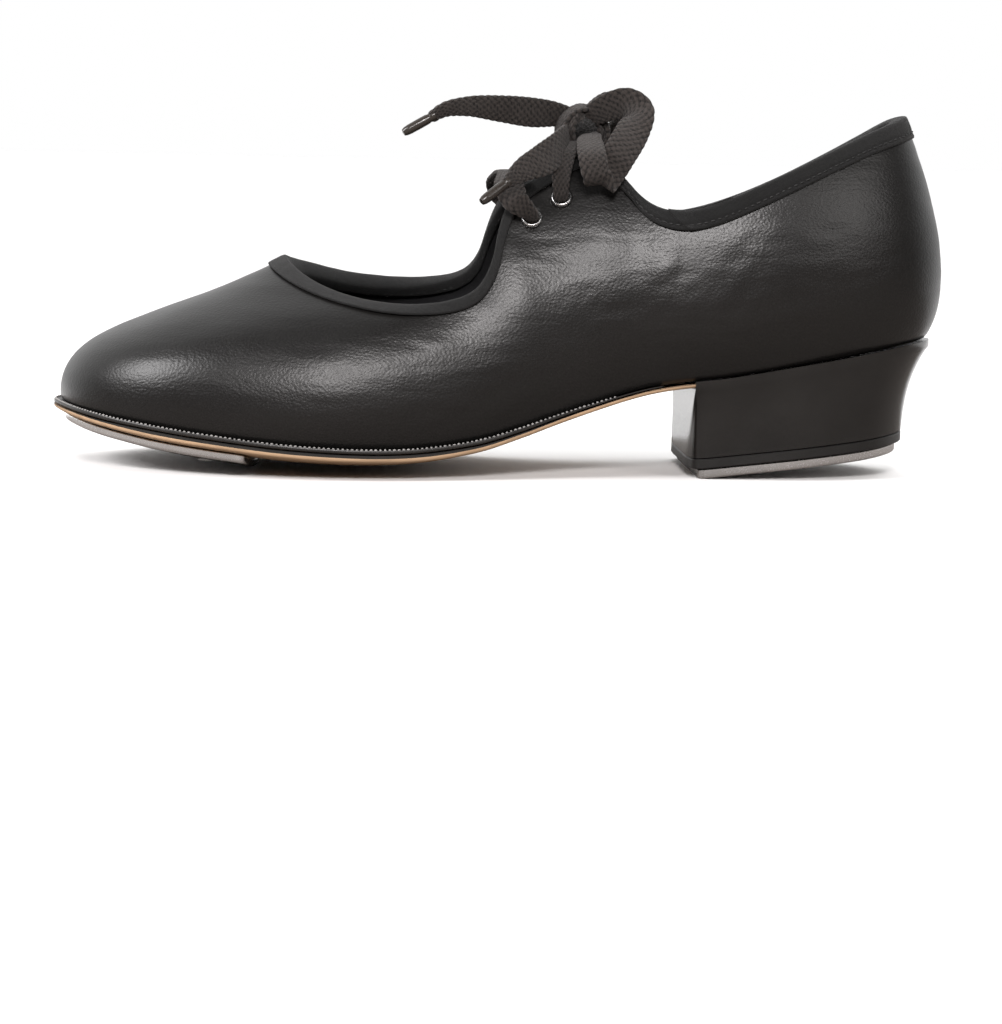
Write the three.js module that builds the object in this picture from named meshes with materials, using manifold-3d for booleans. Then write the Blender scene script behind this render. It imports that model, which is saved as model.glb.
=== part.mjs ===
// A low-heeled tie tap shoe for the left foot, in millimetres, +Z up.
// The toe points along -X, the outer (lateral) side of the foot is -Y.
// The shoe stands on the front edge of its heel tap and the rear edge of its toe tap, at z = 0.
import * as THREE from 'three';
import { mergeVertices } from 'three/addons/utils/BufferGeometryUtils.js';
import Module from 'manifold-3d';

const wasm = await Module();
wasm.setup();

// ---------------------------------------------------------------- driving dimensions
const SHOE_LENGTH = 246;       // toe to back of the heel cup
const BALL_WIDTH = 84;         // across the sole at the ball
const HEEL_LIFT = 26;          // underside of the sole above the floor, at the heel breast
const HEEL_TILT = 6.5;         // degrees by which the heel's underside rises to the back

const GAP = 0.3;               // between pieces that touch
const UPPER_THICKNESS = 1.2;
const STIFFENER_THICKNESS = 0.8;
const LINING_THICKNESS = 0.6;
const LASTING_MARGIN = 8;      // the upper's edge turned in under the insole
const BINDING_THICKNESS = 0.6;
const BINDING_EASE = 0.5;      // between the lining and the turned-in leg of the binding
const VAMP_BINDING_WIDTH = 3;
const COLLAR_BINDING_WIDTH = 4.8;

const SOLE_CROWN = 4.3;        // rise of the sole's edge over its middle, at the ball
const RAND_THICKNESS = 1;
const RAND_GAP = 0.35;         // between the rand and the outsole
const RAND_WIDTH = 6;
const SOLE_THICKNESS = 3.6;    // rand and outsole together, at the ball
const SEAT_THICKNESS = 1.9;    // the outsole where it runs over the heel
const INSOLE_THICKNESS = 2;
const SOCK_THICKNESS = 0.8;
const SHANK_THICKNESS = 1.3;
const SHANK_WIDTH = 14;

const TOP_LIFT_THICKNESS = 2.7;
const HEEL_TAP_THICKNESS = 2.6;
const HEEL_TAP_INSET = 1.6;
const TOE_TAP_THICKNESS = 2.1;
const TOE_TAP_INSET = 3;
const TOE_TAP_REAR = -67;
const TAP_GAP = 0.4;           // between the outsole and the toe tap bent to it
const TAP_BEVEL = 0.8;         // taken off the lower edge of both taps

const EYELET_BORE = 4.4;
const EYELET_FLANGE = 7.2;
const EYELET_SETBACK = 8;      // from the edge of the facing to the eyelet's centre
const LACE_THICKNESS = 3;      // the braid, rounded up to a plain cord
const AGLET_LENGTH = 10;
const AGLET_RADIUS = 1.5;

// ---------------------------------------------------------------- the last
// The upper is stretched over a last. Each station runs from the feather line, where the upper
// meets the sole, to the topline, from the toe round one side of the foot to the back.
// feather: x, z, lateral y, medial y. topline: x, z, lateral y, medial y, rise of the medial side.
// swell: how far the wall stands out beyond a straight line, low down and high up, and the
// height by which the same two points are lifted.
const BASE_LENGTH = 246;
const BASE_WIDTH = 84;
const BASE_LIFT = 26;
const TOE = { feather: [-122, 17.2, 6, 6], topline: [-60.5, 57, 3, 3, 0], swell: [22.5, 8, 12, -5] };
const BACK = {
  feather: [119, 38.2, 0, 0], topline: [111, 98.8, 0, 0, 0], swell: [11.7, -8.4, 7.8, -2.6],
};
const SIDE = [
  { feather: [-117, 16.6, -15, 20.5], topline: [-58, 54.6, -7, 12.5, 1], swell: [20, 8, 12, -3] },
  { feather: [-103, 14.6, -28.5, 31.5], topline: [-52.5, 51, -15.8, 20, 3], swell: [14, 6, 11, 0] },
  { feather: [-82, 11.9, -36.5, 38.5], topline: [-43.5, 47.6, -23.2, 25.8, 4], swell: [10, 2, 9, 3] },
  { feather: [-55, 9.3, -40.5, 41], topline: [-31, 45.7, -28, 28.8, 4.5], swell: [8.5, 0, 8, 2] },
  { feather: [-28, 8.7, -38.6, 33.5], topline: [-18, 46.4, -30, 30, 4], swell: [6.5, 0, 6, 1] },
  { feather: [-8, 11, -35, 25.5], topline: [-8.5, 49.8, -30, 30, 3], swell: [5.5, 0, 5, 0] },
  { feather: [5, 14.6, -31.6, 22.5], topline: [-4, 57.5, -27.8, 27.8, 2], swell: [6.5, 0, 6.5, 0] },
  { feather: [12, 17, -30, 21.8], topline: [-2, 67, -23.2, 23.2, 1], swell: [8, 0, 9.5, 0] },
  { feather: [18, 19, -28.9, 21.8], topline: [2, 75.5, -17.8, 17.8, 0.5], swell: [10, 0, 12, 0] },
  { feather: [25, 21.2, -27.9, 22], topline: [11.5, 81.8, -14.2, 14.2, 0], swell: [11.5, 0, 13.5, 0] },
  { feather: [32, 23.3, -27.2, 22.5], topline: [21, 86.6, -13, 13, 0], swell: [12, 0, 14, 0] },
  { feather: [39, 25.1, -26.7, 23.4], topline: [29, 83.2, -16.4, 16.4, 0], swell: [10.5, 0, 12, 0] },
  { feather: [47, 26.5, -26.5, 24.7], topline: [37.5, 73.8, -24, 24, 0], swell: [8, 0, 8, 0] },
  { feather: [60, 28.1, -26.6, 26.2], topline: [49, 71.6, -27, 27.4, -1.6], swell: [7.5, 0, 5.5, 0] },
  { feather: [82, 32, -25.8, 26.8], topline: [72, 81.2, -25.8, 26.2, -4.4], swell: [7.5, 0, 6, 0] },
  { feather: [105.5, 36.3, -19.6, 20], topline: [97.5, 93.3, -16, 16.2, -2.4], swell: [8.6, -2, 7.2, 0] },
  { feather: [115, 37.8, -11.2, 11.6], topline: [107.6, 97.4, -9.2, 9.2, 0], swell: [10.6, -6, 7.6, -2] },
];
const SIDE_COUNT = SIDE.length;
const STATION_COUNT = 2 * (SIDE_COUNT + 1);
const TAB_STATION = 12;        // the upper rear corner of the lacing tab, counted from the toe

// The plan of the sole, lateral side from the toe to the back and then the medial side.
const SOLE_PLAN = [
  [-123.2, 5], [-119.7, -10], [-110, -24.5], [-92, -35], [-66, -41.2], [-40, -42.2], [-15, -38.4],
  [10, -32.2], [40, -27.8], [70, -27], [95, -24.8], [111, -16.6], [119, -5], [119, 5], [111, 17],
  [95, 25.2], [70, 27], [45, 24.6], [15, 23.2], [-10, 27.8], [-34, 37], [-56, 42], [-80, 40.6],
  [-101, 33.4], [-115.5, 22],
];

const ramp = (from, to, x) => Math.min(1, Math.max(0, (x - from) / (to - from)));
const ease = (t) => t * t * (3 - 2 * t);
const mix = (a, b, t) => a + (b - a) * t;

// A last of another size: longer, wider, or with its back part lifted by a higher heel.
function graded(x, y, z) {
  const lifted = (HEEL_LIFT - BASE_LIFT) * ease(ramp(-50, 45, x));
  return new THREE.Vector3(x * SHOE_LENGTH / BASE_LENGTH, y * BALL_WIDTH / BASE_WIDTH, z + lifted);
}

const gradedX = (x) => x * SHOE_LENGTH / BASE_LENGTH;

function stationRing() {
  const lateral = SIDE.map((row) => ({ row, medial: false }));
  const medial = SIDE.map((row) => ({ row, medial: true })).reverse();
  return [{ row: TOE, medial: false }, ...lateral, { row: BACK, medial: false }, ...medial];
}

function lastLoops() {
  const ring = stationRing();
  const feather = ring.map(({ row, medial }) => {
    const [x, z, lateralY, medialY] = row.feather;
    return graded(x, medial ? medialY : lateralY, z);
  });
  const topline = ring.map(({ row, medial }) => {
    const [x, z, lateralY, medialY, rise] = row.topline;
    return graded(x, medial ? medialY : lateralY, medial ? z + rise : z);
  });
  const handles = ring.map(({ row }, i) => {
    const before = feather[(i + STATION_COUNT - 1) % STATION_COUNT];
    const after = feather[(i + 1) % STATION_COUNT];
    const along = new THREE.Vector3().subVectors(after, before).setZ(0).normalize();
    const outward = new THREE.Vector3(along.y, -along.x, 0);
    const [lowSwell, lowLift, highSwell, highLift] = row.swell;
    const handle = (share, swell, lift) => new THREE.Vector3()
      .lerpVectors(feather[i], topline[i], share)
      .addScaledVector(outward, swell)
      .add(new THREE.Vector3(0, 0, lift));
    return [handle(1 / 3, lowSwell, lowLift), handle(2 / 3, highSwell, highLift)];
  });
  const loop = (points) => new THREE.CatmullRomCurve3(points, true, 'centripetal');
  return [loop(feather), loop(handles.map((h) => h[0])), loop(handles.map((h) => h[1])), loop(topline)];
}

const LAST = lastLoops();

// A point of the last's surface: station s round the foot, height v from feather 0 to topline 1.
function lastPoint(s, v) {
  const t = (((s / STATION_COUNT) % 1) + 1) % 1;
  const [a, b, c, d] = LAST.map((loop) => loop.getPoint(t));
  const w = 1 - v;
  return a.multiplyScalar(w * w * w)
    .addScaledVector(b, 3 * w * w * v)
    .addScaledVector(c, 3 * w * v * v)
    .addScaledVector(d, v * v * v);
}

const SMALL = 1e-3;

function lastFrame(s, v) {
  const low = Math.max(0, Math.min(1 - SMALL, v - SMALL / 2));
  const point = lastPoint(s, v);
  const along = lastPoint(s + 0.02, v).sub(lastPoint(s - 0.02, v)).normalize();
  const up = lastPoint(s, low + SMALL).sub(lastPoint(s, low)).normalize();
  const normal = new THREE.Vector3().crossVectors(along, up).normalize();
  return { point, along, up, normal };
}

const columnLength = (s) => {
  let length = 0;
  for (let i = 0; i < 12; i += 1) {
    length += lastPoint(s, i / 12).distanceTo(lastPoint(s, (i + 1) / 12));
  }
  return length;
};

// A point below the topline by a distance along the surface, and out of it by an offset.
function belowTopline(s, distance, offset) {
  const v = distance > 0 ? 1 - distance / columnLength(s) : 1;
  const { point, up, normal } = lastFrame(s, v);
  point.addScaledVector(up, Math.max(0, -distance));
  return point.addScaledVector(normal, offset);
}

// ---------------------------------------------------------------- solids from grids
function geometryFrom(coordinates, corners) {
  const geometry = new THREE.BufferGeometry();
  geometry.setAttribute('position', new THREE.Float32BufferAttribute(coordinates, 3));
  geometry.setIndex(corners);
  return geometry;
}

const solidFrom = (vertices, triangles) => closed(
  geometryFrom(vertices.flatMap((p) => p.toArray()), triangles.flat()));

// Shared vertices merged, slivers dropped, faces turned outwards.
function closed(source) {
  const bare = source.clone();
  bare.deleteAttribute('normal');
  bare.deleteAttribute('uv');
  const merged = mergeVertices(bare, 1e-4);
  const p = merged.getAttribute('position');
  const corner = (i) => new THREE.Vector3().fromBufferAttribute(p, i);
  const kept = [];
  let volume = 0;
  for (let i = 0; i < merged.index.count; i += 3) {
    const [a, b, c] = [0, 1, 2].map((k) => merged.index.getX(i + k));
    if (a !== b && b !== c && c !== a) {
      kept.push([a, b, c]);
      volume += corner(a).dot(new THREE.Vector3().crossVectors(corner(b), corner(c)));
    }
  }
  merged.setIndex(kept.flatMap(([a, b, c]) => (volume < 0 ? [a, c, b] : [a, b, c])));
  return merged;
}

// A wall swept round the foot: each section is a row of outer points and a row of inner points.
function wall(sections, isLoop) {
  const vertices = sections.flatMap(({ outer, inner }) => [...outer, ...inner]);
  const rows = sections[0].outer.length;
  const at = (i, side, r) => (i % sections.length) * 2 * rows + side * rows + r;
  const triangles = [];
  const quad = (a, b, c, d) => triangles.push([a, b, c], [a, c, d]);
  const steps = isLoop ? sections.length : sections.length - 1;
  for (let i = 0; i < steps; i += 1) {
    for (let r = 0; r < rows - 1; r += 1) {
      quad(at(i, 0, r), at(i + 1, 0, r), at(i + 1, 0, r + 1), at(i, 0, r + 1));
      quad(at(i, 1, r), at(i, 1, r + 1), at(i + 1, 1, r + 1), at(i + 1, 1, r));
    }
    quad(at(i, 1, 0), at(i + 1, 1, 0), at(i + 1, 0, 0), at(i, 0, 0));
    quad(at(i, 0, rows - 1), at(i + 1, 0, rows - 1), at(i + 1, 1, rows - 1), at(i, 1, rows - 1));
  }
  if (!isLoop) {
    const last = sections.length - 1;
    for (let r = 0; r < rows - 1; r += 1) {
      quad(at(0, 1, r), at(0, 0, r), at(0, 0, r + 1), at(0, 1, r + 1));
      quad(at(last, 0, r), at(last, 1, r), at(last, 1, r + 1), at(last, 0, r + 1));
    }
  }
  return solidFrom(vertices, triangles);
}

// Points round a smooth closed outline, each with its direction into the plate.
function rimOf(points, count) {
  const rim = new THREE.CatmullRomCurve3(points, true, 'centripetal').getPoints(count).slice(0, -1);
  return rim.map((p, i) => {
    const along = rim[(i + 1) % rim.length].clone().sub(rim[(i + rim.length - 1) % rim.length]);
    along.setZ(0).normalize();
    return { p, inward: new THREE.Vector3(-along.y, along.x, 0) };
  });
}

// The plan outline of a plate, from points round its edge.
// at(u, w) is a point of the plate: u from front to back, w from the lateral edge to the medial.
function plan(points, { inset = 0, from = -Infinity, to = Infinity } = {}) {
  const edge = rimOf(points, 240).map(({ p, inward }) => p.clone().addScaledVector(inward, inset));
  const xs = edge.map((p) => p.x);
  const front = Math.max(from, Math.min(...xs));
  const back = Math.min(to, Math.max(...xs));
  const span = (x) => {
    const crossings = [];
    edge.forEach((p, i) => {
      const q = edge[(i + 1) % edge.length];
      if ((p.x <= x) !== (q.x <= x)) {
        crossings.push(mix(p.y, q.y, (x - p.x) / (q.x - p.x)));
      }
    });
    if (crossings.length === 0) {
      const nearest = edge.reduce((a, b) => (Math.abs(b.x - x) < Math.abs(a.x - x) ? b : a));
      return [nearest.y, nearest.y];
    }
    return [Math.min(...crossings), Math.max(...crossings)];
  };
  const at = (u, w) => {
    const x = mix(front, back, (1 - Math.cos(Math.PI * u)) / 2);
    const [lateral, medial] = span(x);
    return [x, mix(lateral, medial, w)];
  };
  return { at, span, front, back };
}

// A plate or block between levels, top level first. Each level has a plan and a height z(x, y).
function plate(levels, along, across) {
  const vertices = [];
  levels.forEach(({ outline, height }) => {
    for (let i = 0; i <= along; i += 1) {
      for (let j = 0; j <= across; j += 1) {
        const [x, y] = outline.at(i / along, j / across);
        vertices.push(new THREE.Vector3(x, y, height(x, y)));
      }
    }
  });
  const at = (level, i, j) => (level * (along + 1) + i) * (across + 1) + j;
  const triangles = [];
  const quad = (a, b, c, d) => triangles.push([a, b, c], [a, c, d]);
  const bottom = levels.length - 1;
  for (let i = 0; i < along; i += 1) {
    for (let j = 0; j < across; j += 1) {
      quad(at(0, i, j), at(0, i + 1, j), at(0, i + 1, j + 1), at(0, i, j + 1));
      quad(at(bottom, i, j + 1), at(bottom, i + 1, j + 1), at(bottom, i + 1, j), at(bottom, i, j));
    }
  }
  for (let k = 0; k < bottom; k += 1) {
    for (let i = 0; i < along; i += 1) {
      quad(at(k, i, 0), at(k + 1, i, 0), at(k + 1, i + 1, 0), at(k, i + 1, 0));
      quad(at(k, i + 1, across), at(k + 1, i + 1, across), at(k + 1, i, across), at(k, i, across));
    }
    for (let j = 0; j < across; j += 1) {
      quad(at(k, 0, j + 1), at(k + 1, 0, j + 1), at(k + 1, 0, j), at(k, 0, j));
      quad(at(k, along, j), at(k + 1, along, j), at(k + 1, along, j + 1), at(k, along, j + 1));
    }
  }
  return solidFrom(vertices, triangles);
}

// ---------------------------------------------------------------- cutting
function manifoldOf(geometry) {
  const merged = closed(geometry);
  return new wasm.Manifold(new wasm.Mesh({
    numProp: 3,
    vertProperties: new Float32Array(merged.getAttribute('position').array),
    triVerts: new Uint32Array(merged.index.array),
  }));
}

function geometryOf(solid) {
  const mesh = solid.getMesh();
  return geometryFrom(Array.from(mesh.vertProperties), Array.from(mesh.triVerts));
}

function cut(geometry, tools) {
  const whole = manifoldOf(geometry);
  return geometryOf(tools.reduce((solid, tool) => solid.subtract(manifoldOf(tool)), whole));
}

// A turned piece: profile of radius and height, from the axis and back to it, +Z outwards.
function turned(profile, sides = 16) {
  const points = profile.map(([radius, height]) => new THREE.Vector2(radius, height));
  return closed(new THREE.LatheGeometry(points, sides).rotateX(Math.PI / 2));
}

function placed(geometry, point, direction) {
  const turn = new THREE.Quaternion().setFromUnitVectors(new THREE.Vector3(0, 0, 1), direction);
  return geometry.clone().applyQuaternion(turn).translate(point.x, point.y, point.z);
}

// A countersunk fastener with its head's face at z = 0, grown all round by a clearance.
function fastener({ head, shank, length, grow = 0 }) {
  const face = grow > 0 ? 1 : 0;
  return turned([
    [0, -length - grow], [shank + grow, -length + 1.5 - grow], [shank + grow, shank - head - 0.2],
    [head + grow, -0.2], [head + grow, face], [0, face],
  ], 8);
}

// ---------------------------------------------------------------- the sole's surfaces
const solePoints = SOLE_PLAN.map(([x, y]) => graded(x, y, 0));
const featherPoints = () => {
  const points = [];
  for (let i = 0; i < STATION_COUNT; i += 1) {
    points.push(lastPoint(i, 0).setZ(0));
  }
  return points;
};
const SOLE_EDGE = plan(solePoints);

const featherHeights = [TOE, ...SIDE, BACK].map(({ feather: [x, z] }) => graded(x, 0, z));

// The height of the feather line along the foot, a smooth curve through the stations.
function featherHeight(x) {
  const last = featherHeights.length - 1;
  let i = featherHeights.findIndex((p) => p.x > x) - 1;
  i = x >= featherHeights[last].x ? last - 1 : Math.max(0, i);
  const at = (k) => featherHeights[Math.min(last, Math.max(0, k))];
  const slope = (k) => (at(k + 1).z - at(k - 1).z) / (at(k + 1).x - at(k - 1).x);
  const step = at(i + 1).x - at(i).x;
  const t = ramp(at(i).x, at(i + 1).x, x);
  return (1 + 2 * t) * (1 - t) ** 2 * at(i).z + t * (1 - t) ** 2 * step * slope(i)
    + t * t * (3 - 2 * t) * at(i + 1).z + t * t * (t - 1) * step * slope(i + 1);
}

// The face that the lasted upper is cemented down to. It is crowned across the foot.
function bed(x, y) {
  const [lateral, medial] = SOLE_EDGE.span(Math.min(SOLE_EDGE.back, Math.max(SOLE_EDGE.front, x)));
  const reach = (y - lateral) * (medial - y) / (BALL_WIDTH / 2) ** 2;
  return featherHeight(x) - SOLE_CROWN * Math.max(0, reach);
}

const WAIST_FRONT = gradedX(-5);
const HEEL_BREAST = gradedX(51.5);
const RAND_END = HEEL_BREAST - 8;
const randThickness = (x) => mix(RAND_THICKNESS, GAP, ease(ramp(WAIST_FRONT, RAND_END, x)));
const soleTaper = (x) => ease(ramp(WAIST_FRONT - 20, HEEL_BREAST, x));
const soleThickness = (x) => mix(SOLE_THICKNESS, SEAT_THICKNESS, soleTaper(x));
const outsoleTop = (x, y) => bed(x, y) - GAP - randThickness(x) - RAND_GAP;
const toeThinning = (x) => 0.9 * (1 - ramp(SOLE_EDGE.front, gradedX(-95), x));
const outsoleBottom = (x, y) => bed(x, y) - soleThickness(x) + toeThinning(x);
const over = (surface, rise) => (x, y) => surface(x, y) + rise;

// ---------------------------------------------------------------- upper, lining and stiffeners
const DEPTH = {
  stiffener: UPPER_THICKNESS + GAP,
  lining: UPPER_THICKNESS + GAP + STIFFENER_THICKNESS + GAP,
};
DEPTH.total = DEPTH.lining + LINING_THICKNESS;

function section(s, heights, depth, thickness) {
  const layer = (offset) => heights.map((v) => {
    const { point, normal } = lastFrame(s, v);
    return point.addScaledVector(normal, -offset);
  });
  return { outer: layer(depth), inner: layer(depth + thickness) };
}

const steps = (count) => Array.from({ length: count + 1 }, (_, i) => i / count);
const BACK_STATION = SIDE_COUNT + 1;

// The columns of every wall: one at each station, and one between where stations are far apart.
// All walls share them, so that they nest.
function isColumn(s) {
  const q = Math.min(s, STATION_COUNT - s);
  return Number.isInteger(s) || q < 6 || q > 13;
}

function columnsBetween(from, to) {
  const inner = [];
  for (let s = Math.floor(from * 2 + 1) / 2; s < to; s += 0.5) {
    if (isColumn((s + STATION_COUNT) % STATION_COUNT)) {
      inner.push(s);
    }
  }
  return [from, ...inner, to];
}

const TAB_HEIGHTS = [0.62, 0.76, 0.88];
const allColumns = () => columnsBetween(0, STATION_COUNT).slice(0, -1);

const FEATHER_BEND = 0.8;      // radius of the upper's bend under the insole

function upperGeometry() {
  const heights = [0.03, 0.1, 0.2, 0.33, 0.47, ...TAB_HEIGHTS, 1];
  const sections = allColumns().map((s) => {
    const body = section(s, heights, 0, UPPER_THICKNESS);
    const { point, normal } = lastFrame(s, 0);
    const outward = normal.clone().setZ(0).normalize();
    const onBed = (inset, rise) => {
      const p = point.clone().addScaledVector(outward, -inset);
      return p.setZ(bed(p.x, p.y) + rise);
    };
    const under = (bend, rise) => [onBed(LASTING_MARGIN, rise), onBed(bend, rise)];
    return {
      outer: [...under(FEATHER_BEND, 0), ...body.outer],
      inner: [...under(FEATHER_BEND + UPPER_THICKNESS, UPPER_THICKNESS), ...body.inner],
    };
  });
  return wall(sections, true);
}

// The lining stands on the insole and ends level with the upper's top edge.
function liningGeometry() {
  const heights = [0.14, 0.33, 0.47, ...TAB_HEIGHTS, 1];
  return wall(allColumns().map((s) => section(s, heights, DEPTH.lining, LINING_THICKNESS)), true);
}

// A stiffener between upper and lining, over part of the way round the foot.
function stiffener(from, to, heightsAt) {
  const sections = columnsBetween(from, to).map((s) => {
    const heights = heightsAt((s - from) / (to - from));
    return section(s, heights, DEPTH.stiffener, STIFFENER_THICKNESS);
  });
  return wall(sections, false);
}

const spread = (low, high, count) => steps(count).map((t) => mix(low, high, t));
const arched = (low, side, middle, t) => spread(low, mix(side, middle, Math.sin(Math.PI * t)), 5);
const PUFF_REACH = 3.5;        // in stations, to each side of the toe
const COUNTER_REACH = 3;       // in stations, to each side of the back
const toePuff = () => stiffener(-PUFF_REACH, PUFF_REACH, (t) => arched(0.12, 0.2, 0.52, t));
const heelCounter = () => stiffener(BACK_STATION - COUNTER_REACH, BACK_STATION + COUNTER_REACH,
  (t) => arched(0.13, 0.3, 0.68, t));

// The stay behind the eyelets of one lacing tab.
const TAB_FROM = 8;
const TAB_TO = 11;
const sideStation = (s, medial) => (medial ? STATION_COUNT - s : s);
function eyeletStay(medial) {
  const ends = [sideStation(TAB_FROM, medial), sideStation(TAB_TO, medial)];
  return stiffener(Math.min(...ends), Math.max(...ends), () => [...TAB_HEIGHTS, 0.985]);
}

// A folded tape over the top edges of upper and lining.
function binding(from, to, width) {
  const near = 1.5 * GAP;
  const far = near + BINDING_THICKNESS;
  const deep = DEPTH.total + BINDING_EASE;
  const deepest = deep + BINDING_THICKNESS;
  return wall(columnsBetween(from, to).map((s) => {
    const path = (legs) => legs.map(([distance, offset]) => belowTopline(s, distance, offset));
    return {
      outer: path([[width, far], [-far, far], [-far, -deepest], [width, -deepest]]),
      inner: path([[width, near], [-near, near], [-near, -deep], [width, -deep]]),
    };
  }), false);
}

const TAPE_GAP = 0.04;          // in stations, where the two tapes meet at the tab's corner
const VAMP_TAPE_END = TAB_STATION - TAPE_GAP;
const COLLAR_TAPE_END = TAB_STATION + TAPE_GAP;
const vampBinding = () => binding(-VAMP_TAPE_END, VAMP_TAPE_END, VAMP_BINDING_WIDTH);
const collarBinding = () => binding(COLLAR_TAPE_END, STATION_COUNT - COLLAR_TAPE_END, COLLAR_BINDING_WIDTH);

// ---------------------------------------------------------------- eyelets
const EYELET_STATIONS = [9.2, 10.1];
const EYELET_WALL = 0.4;
const EYELET_ROLL = 0.9;       // height of the rolled rim over the upper
const EYELET_INNER_ROLL = 0.8;
const EYELET_NAMES = ['front', 'rear'];
const eyeletSeats = ['lateral', 'medial'].flatMap((side) => EYELET_STATIONS.map((station, i) => {
  const s = sideStation(station, side === 'medial');
  const v = 1 - EYELET_SETBACK / columnLength(s);
  const { point, normal } = lastFrame(s, v);
  return { name: `eyelet_${side}_${EYELET_NAMES[i]}`, side, point, normal };
}));

function eyeletGeometry() {
  const bore = EYELET_BORE / 2;
  const barrel = bore + EYELET_WALL;
  const flange = EYELET_FLANGE / 2;
  const inside = -DEPTH.total - 2 * GAP;
  const outline = [
    [bore, inside - EYELET_INNER_ROLL], [barrel + 1, inside - 0.6], [barrel, inside], [barrel, GAP],
    [flange, GAP], [flange - 0.6, EYELET_ROLL], [bore, EYELET_ROLL], [bore, inside - EYELET_INNER_ROLL],
  ];
  return turned(outline, 14);
}

const eyeletHole = () => {
  const radius = EYELET_BORE / 2 + EYELET_WALL + GAP;
  return turned([[0, -8], [radius, -8], [radius, 4], [0, 4]], 12);
};
const eyeletHoles = (side) => eyeletSeats.filter((seat) => !side || seat.side === side)
  .map(({ point, normal }) => placed(eyeletHole(), point, normal));

// ---------------------------------------------------------------- bottom of the shoe
const FEATHER = featherPoints();
const INSOLE_LOW = UPPER_THICKNESS + GAP;
const INSOLE_HIGH = INSOLE_LOW + INSOLE_THICKNESS;
const layerOf = (outline, low, high, along, across) => plate(
  [{ outline, height: over(bed, high) }, { outline, height: over(bed, low) }], along, across);

const INSOLE_EASE = 1.5;       // between the insole's edge and the lasted upper
const SOCK_EASE = 1;           // between the sock's edge and the lining
const SOCK_LOW = INSOLE_HIGH + GAP;
const insoleOutline = plan(FEATHER, { inset: UPPER_THICKNESS + INSOLE_EASE });
const sockOutline = plan(FEATHER, { inset: DEPTH.total + SOCK_EASE });
const insoleBoard = () => layerOf(insoleOutline, INSOLE_LOW, INSOLE_HIGH, 26, 6);
const sockLining = () => layerOf(sockOutline, SOCK_LOW, SOCK_LOW + SOCK_THICKNESS, 26, 6);
const FILLER_BACK = gradedX(-12);
function bottomFiller() {
  const outline = plan(FEATHER, { inset: LASTING_MARGIN + 1, to: FILLER_BACK });
  return plate([
    { outline, height: over(bed, UPPER_THICKNESS) },
    { outline, height: over(outsoleTop, GAP) },
  ], 22, 6);
}

const SHANK_MIDDLE = -1;
const shankFront = gradedX(-8);
const shankBack = gradedX(98);
function shank() {
  const half = SHANK_WIDTH / 2;
  const round = 4;
  const straight = spread(shankFront + round, shankBack - round, 8);
  const rim = [
    [shankFront, SHANK_MIDDLE], ...straight.map((x) => [x, SHANK_MIDDLE - half]),
    [shankBack, SHANK_MIDDLE], ...straight.reverse().map((x) => [x, SHANK_MIDDLE + half]),
  ];
  const outline = plan(rim.map(([x, y]) => new THREE.Vector3(x, y, 0)));
  return layerOf(outline, UPPER_THICKNESS - SHANK_THICKNESS, UPPER_THICKNESS, 20, 2);
}

const SOLE_BEVEL = 0.7;
function outsole() {
  const outline = plan(solePoints);
  const tread = plan(solePoints, { inset: SOLE_BEVEL });
  return plate([
    { outline, height: outsoleTop },
    { outline, height: over(outsoleBottom, SOLE_BEVEL) },
    { outline: tread, height: outsoleBottom },
  ], 30, 6);
}

// The rand lies on the sole's edge, from one side of the heel breast round the toe to the other.
function rand() {
  const edge = rimOf(solePoints, 84);
  const firstBehind = edge.findIndex(({ p }) => p.x > RAND_END);
  const afterHeel = edge.findIndex(({ p }, i) => i > firstBehind && p.x <= RAND_END);
  const strip = [...edge.slice(afterHeel), ...edge.slice(0, firstBehind)];
  return wall(strip.map(({ p, inward }) => {
    const across = [0, RAND_WIDTH].map((inset) => p.clone().addScaledVector(inward, inset));
    return {
      outer: across.map((q) => q.clone().setZ(bed(q.x, q.y) - GAP)),
      inner: across.map((q) => q.clone().setZ(bed(q.x, q.y) - GAP - randThickness(q.x))),
    };
  }), false);
}

// ---------------------------------------------------------------- heel
const HEEL_FOOT = [
  [-0.6, 0], [-0.4, -20], [1.2, -25.6], [14, -26.6], [32, -25.8], [50, -20], [59.5, -9], [61.4, 0.5],
  [59.5, 10], [50, 20.6], [32, 26], [14, 26.6], [1.2, 25.6], [-0.4, 20],
];
const behindBreast = ([x, y]) => graded(x, y, 0).setZ(0).setX(HEEL_BREAST + gradedX(x));
const heelFootPoints = HEEL_FOOT.map(behindBreast);
const HEEL_FRONT = HEEL_BREAST - 1;
const tiltRate = Math.tan(THREE.MathUtils.degToRad(HEEL_TILT));
// The tap's straight front edge, which bears on the floor.
const TAP_FRONT = HEEL_BREAST + HEEL_TAP_INSET;
const tapFace = (x) => (x - TAP_FRONT - TAP_BEVEL) * tiltRate;
const liftBottom = (x) => tapFace(x) + HEEL_TAP_THICKNESS + GAP;
const liftTop = (x) => liftBottom(x) + TOP_LIFT_THICKNESS;
const heelBottom = (x) => liftTop(x) + GAP;

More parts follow.
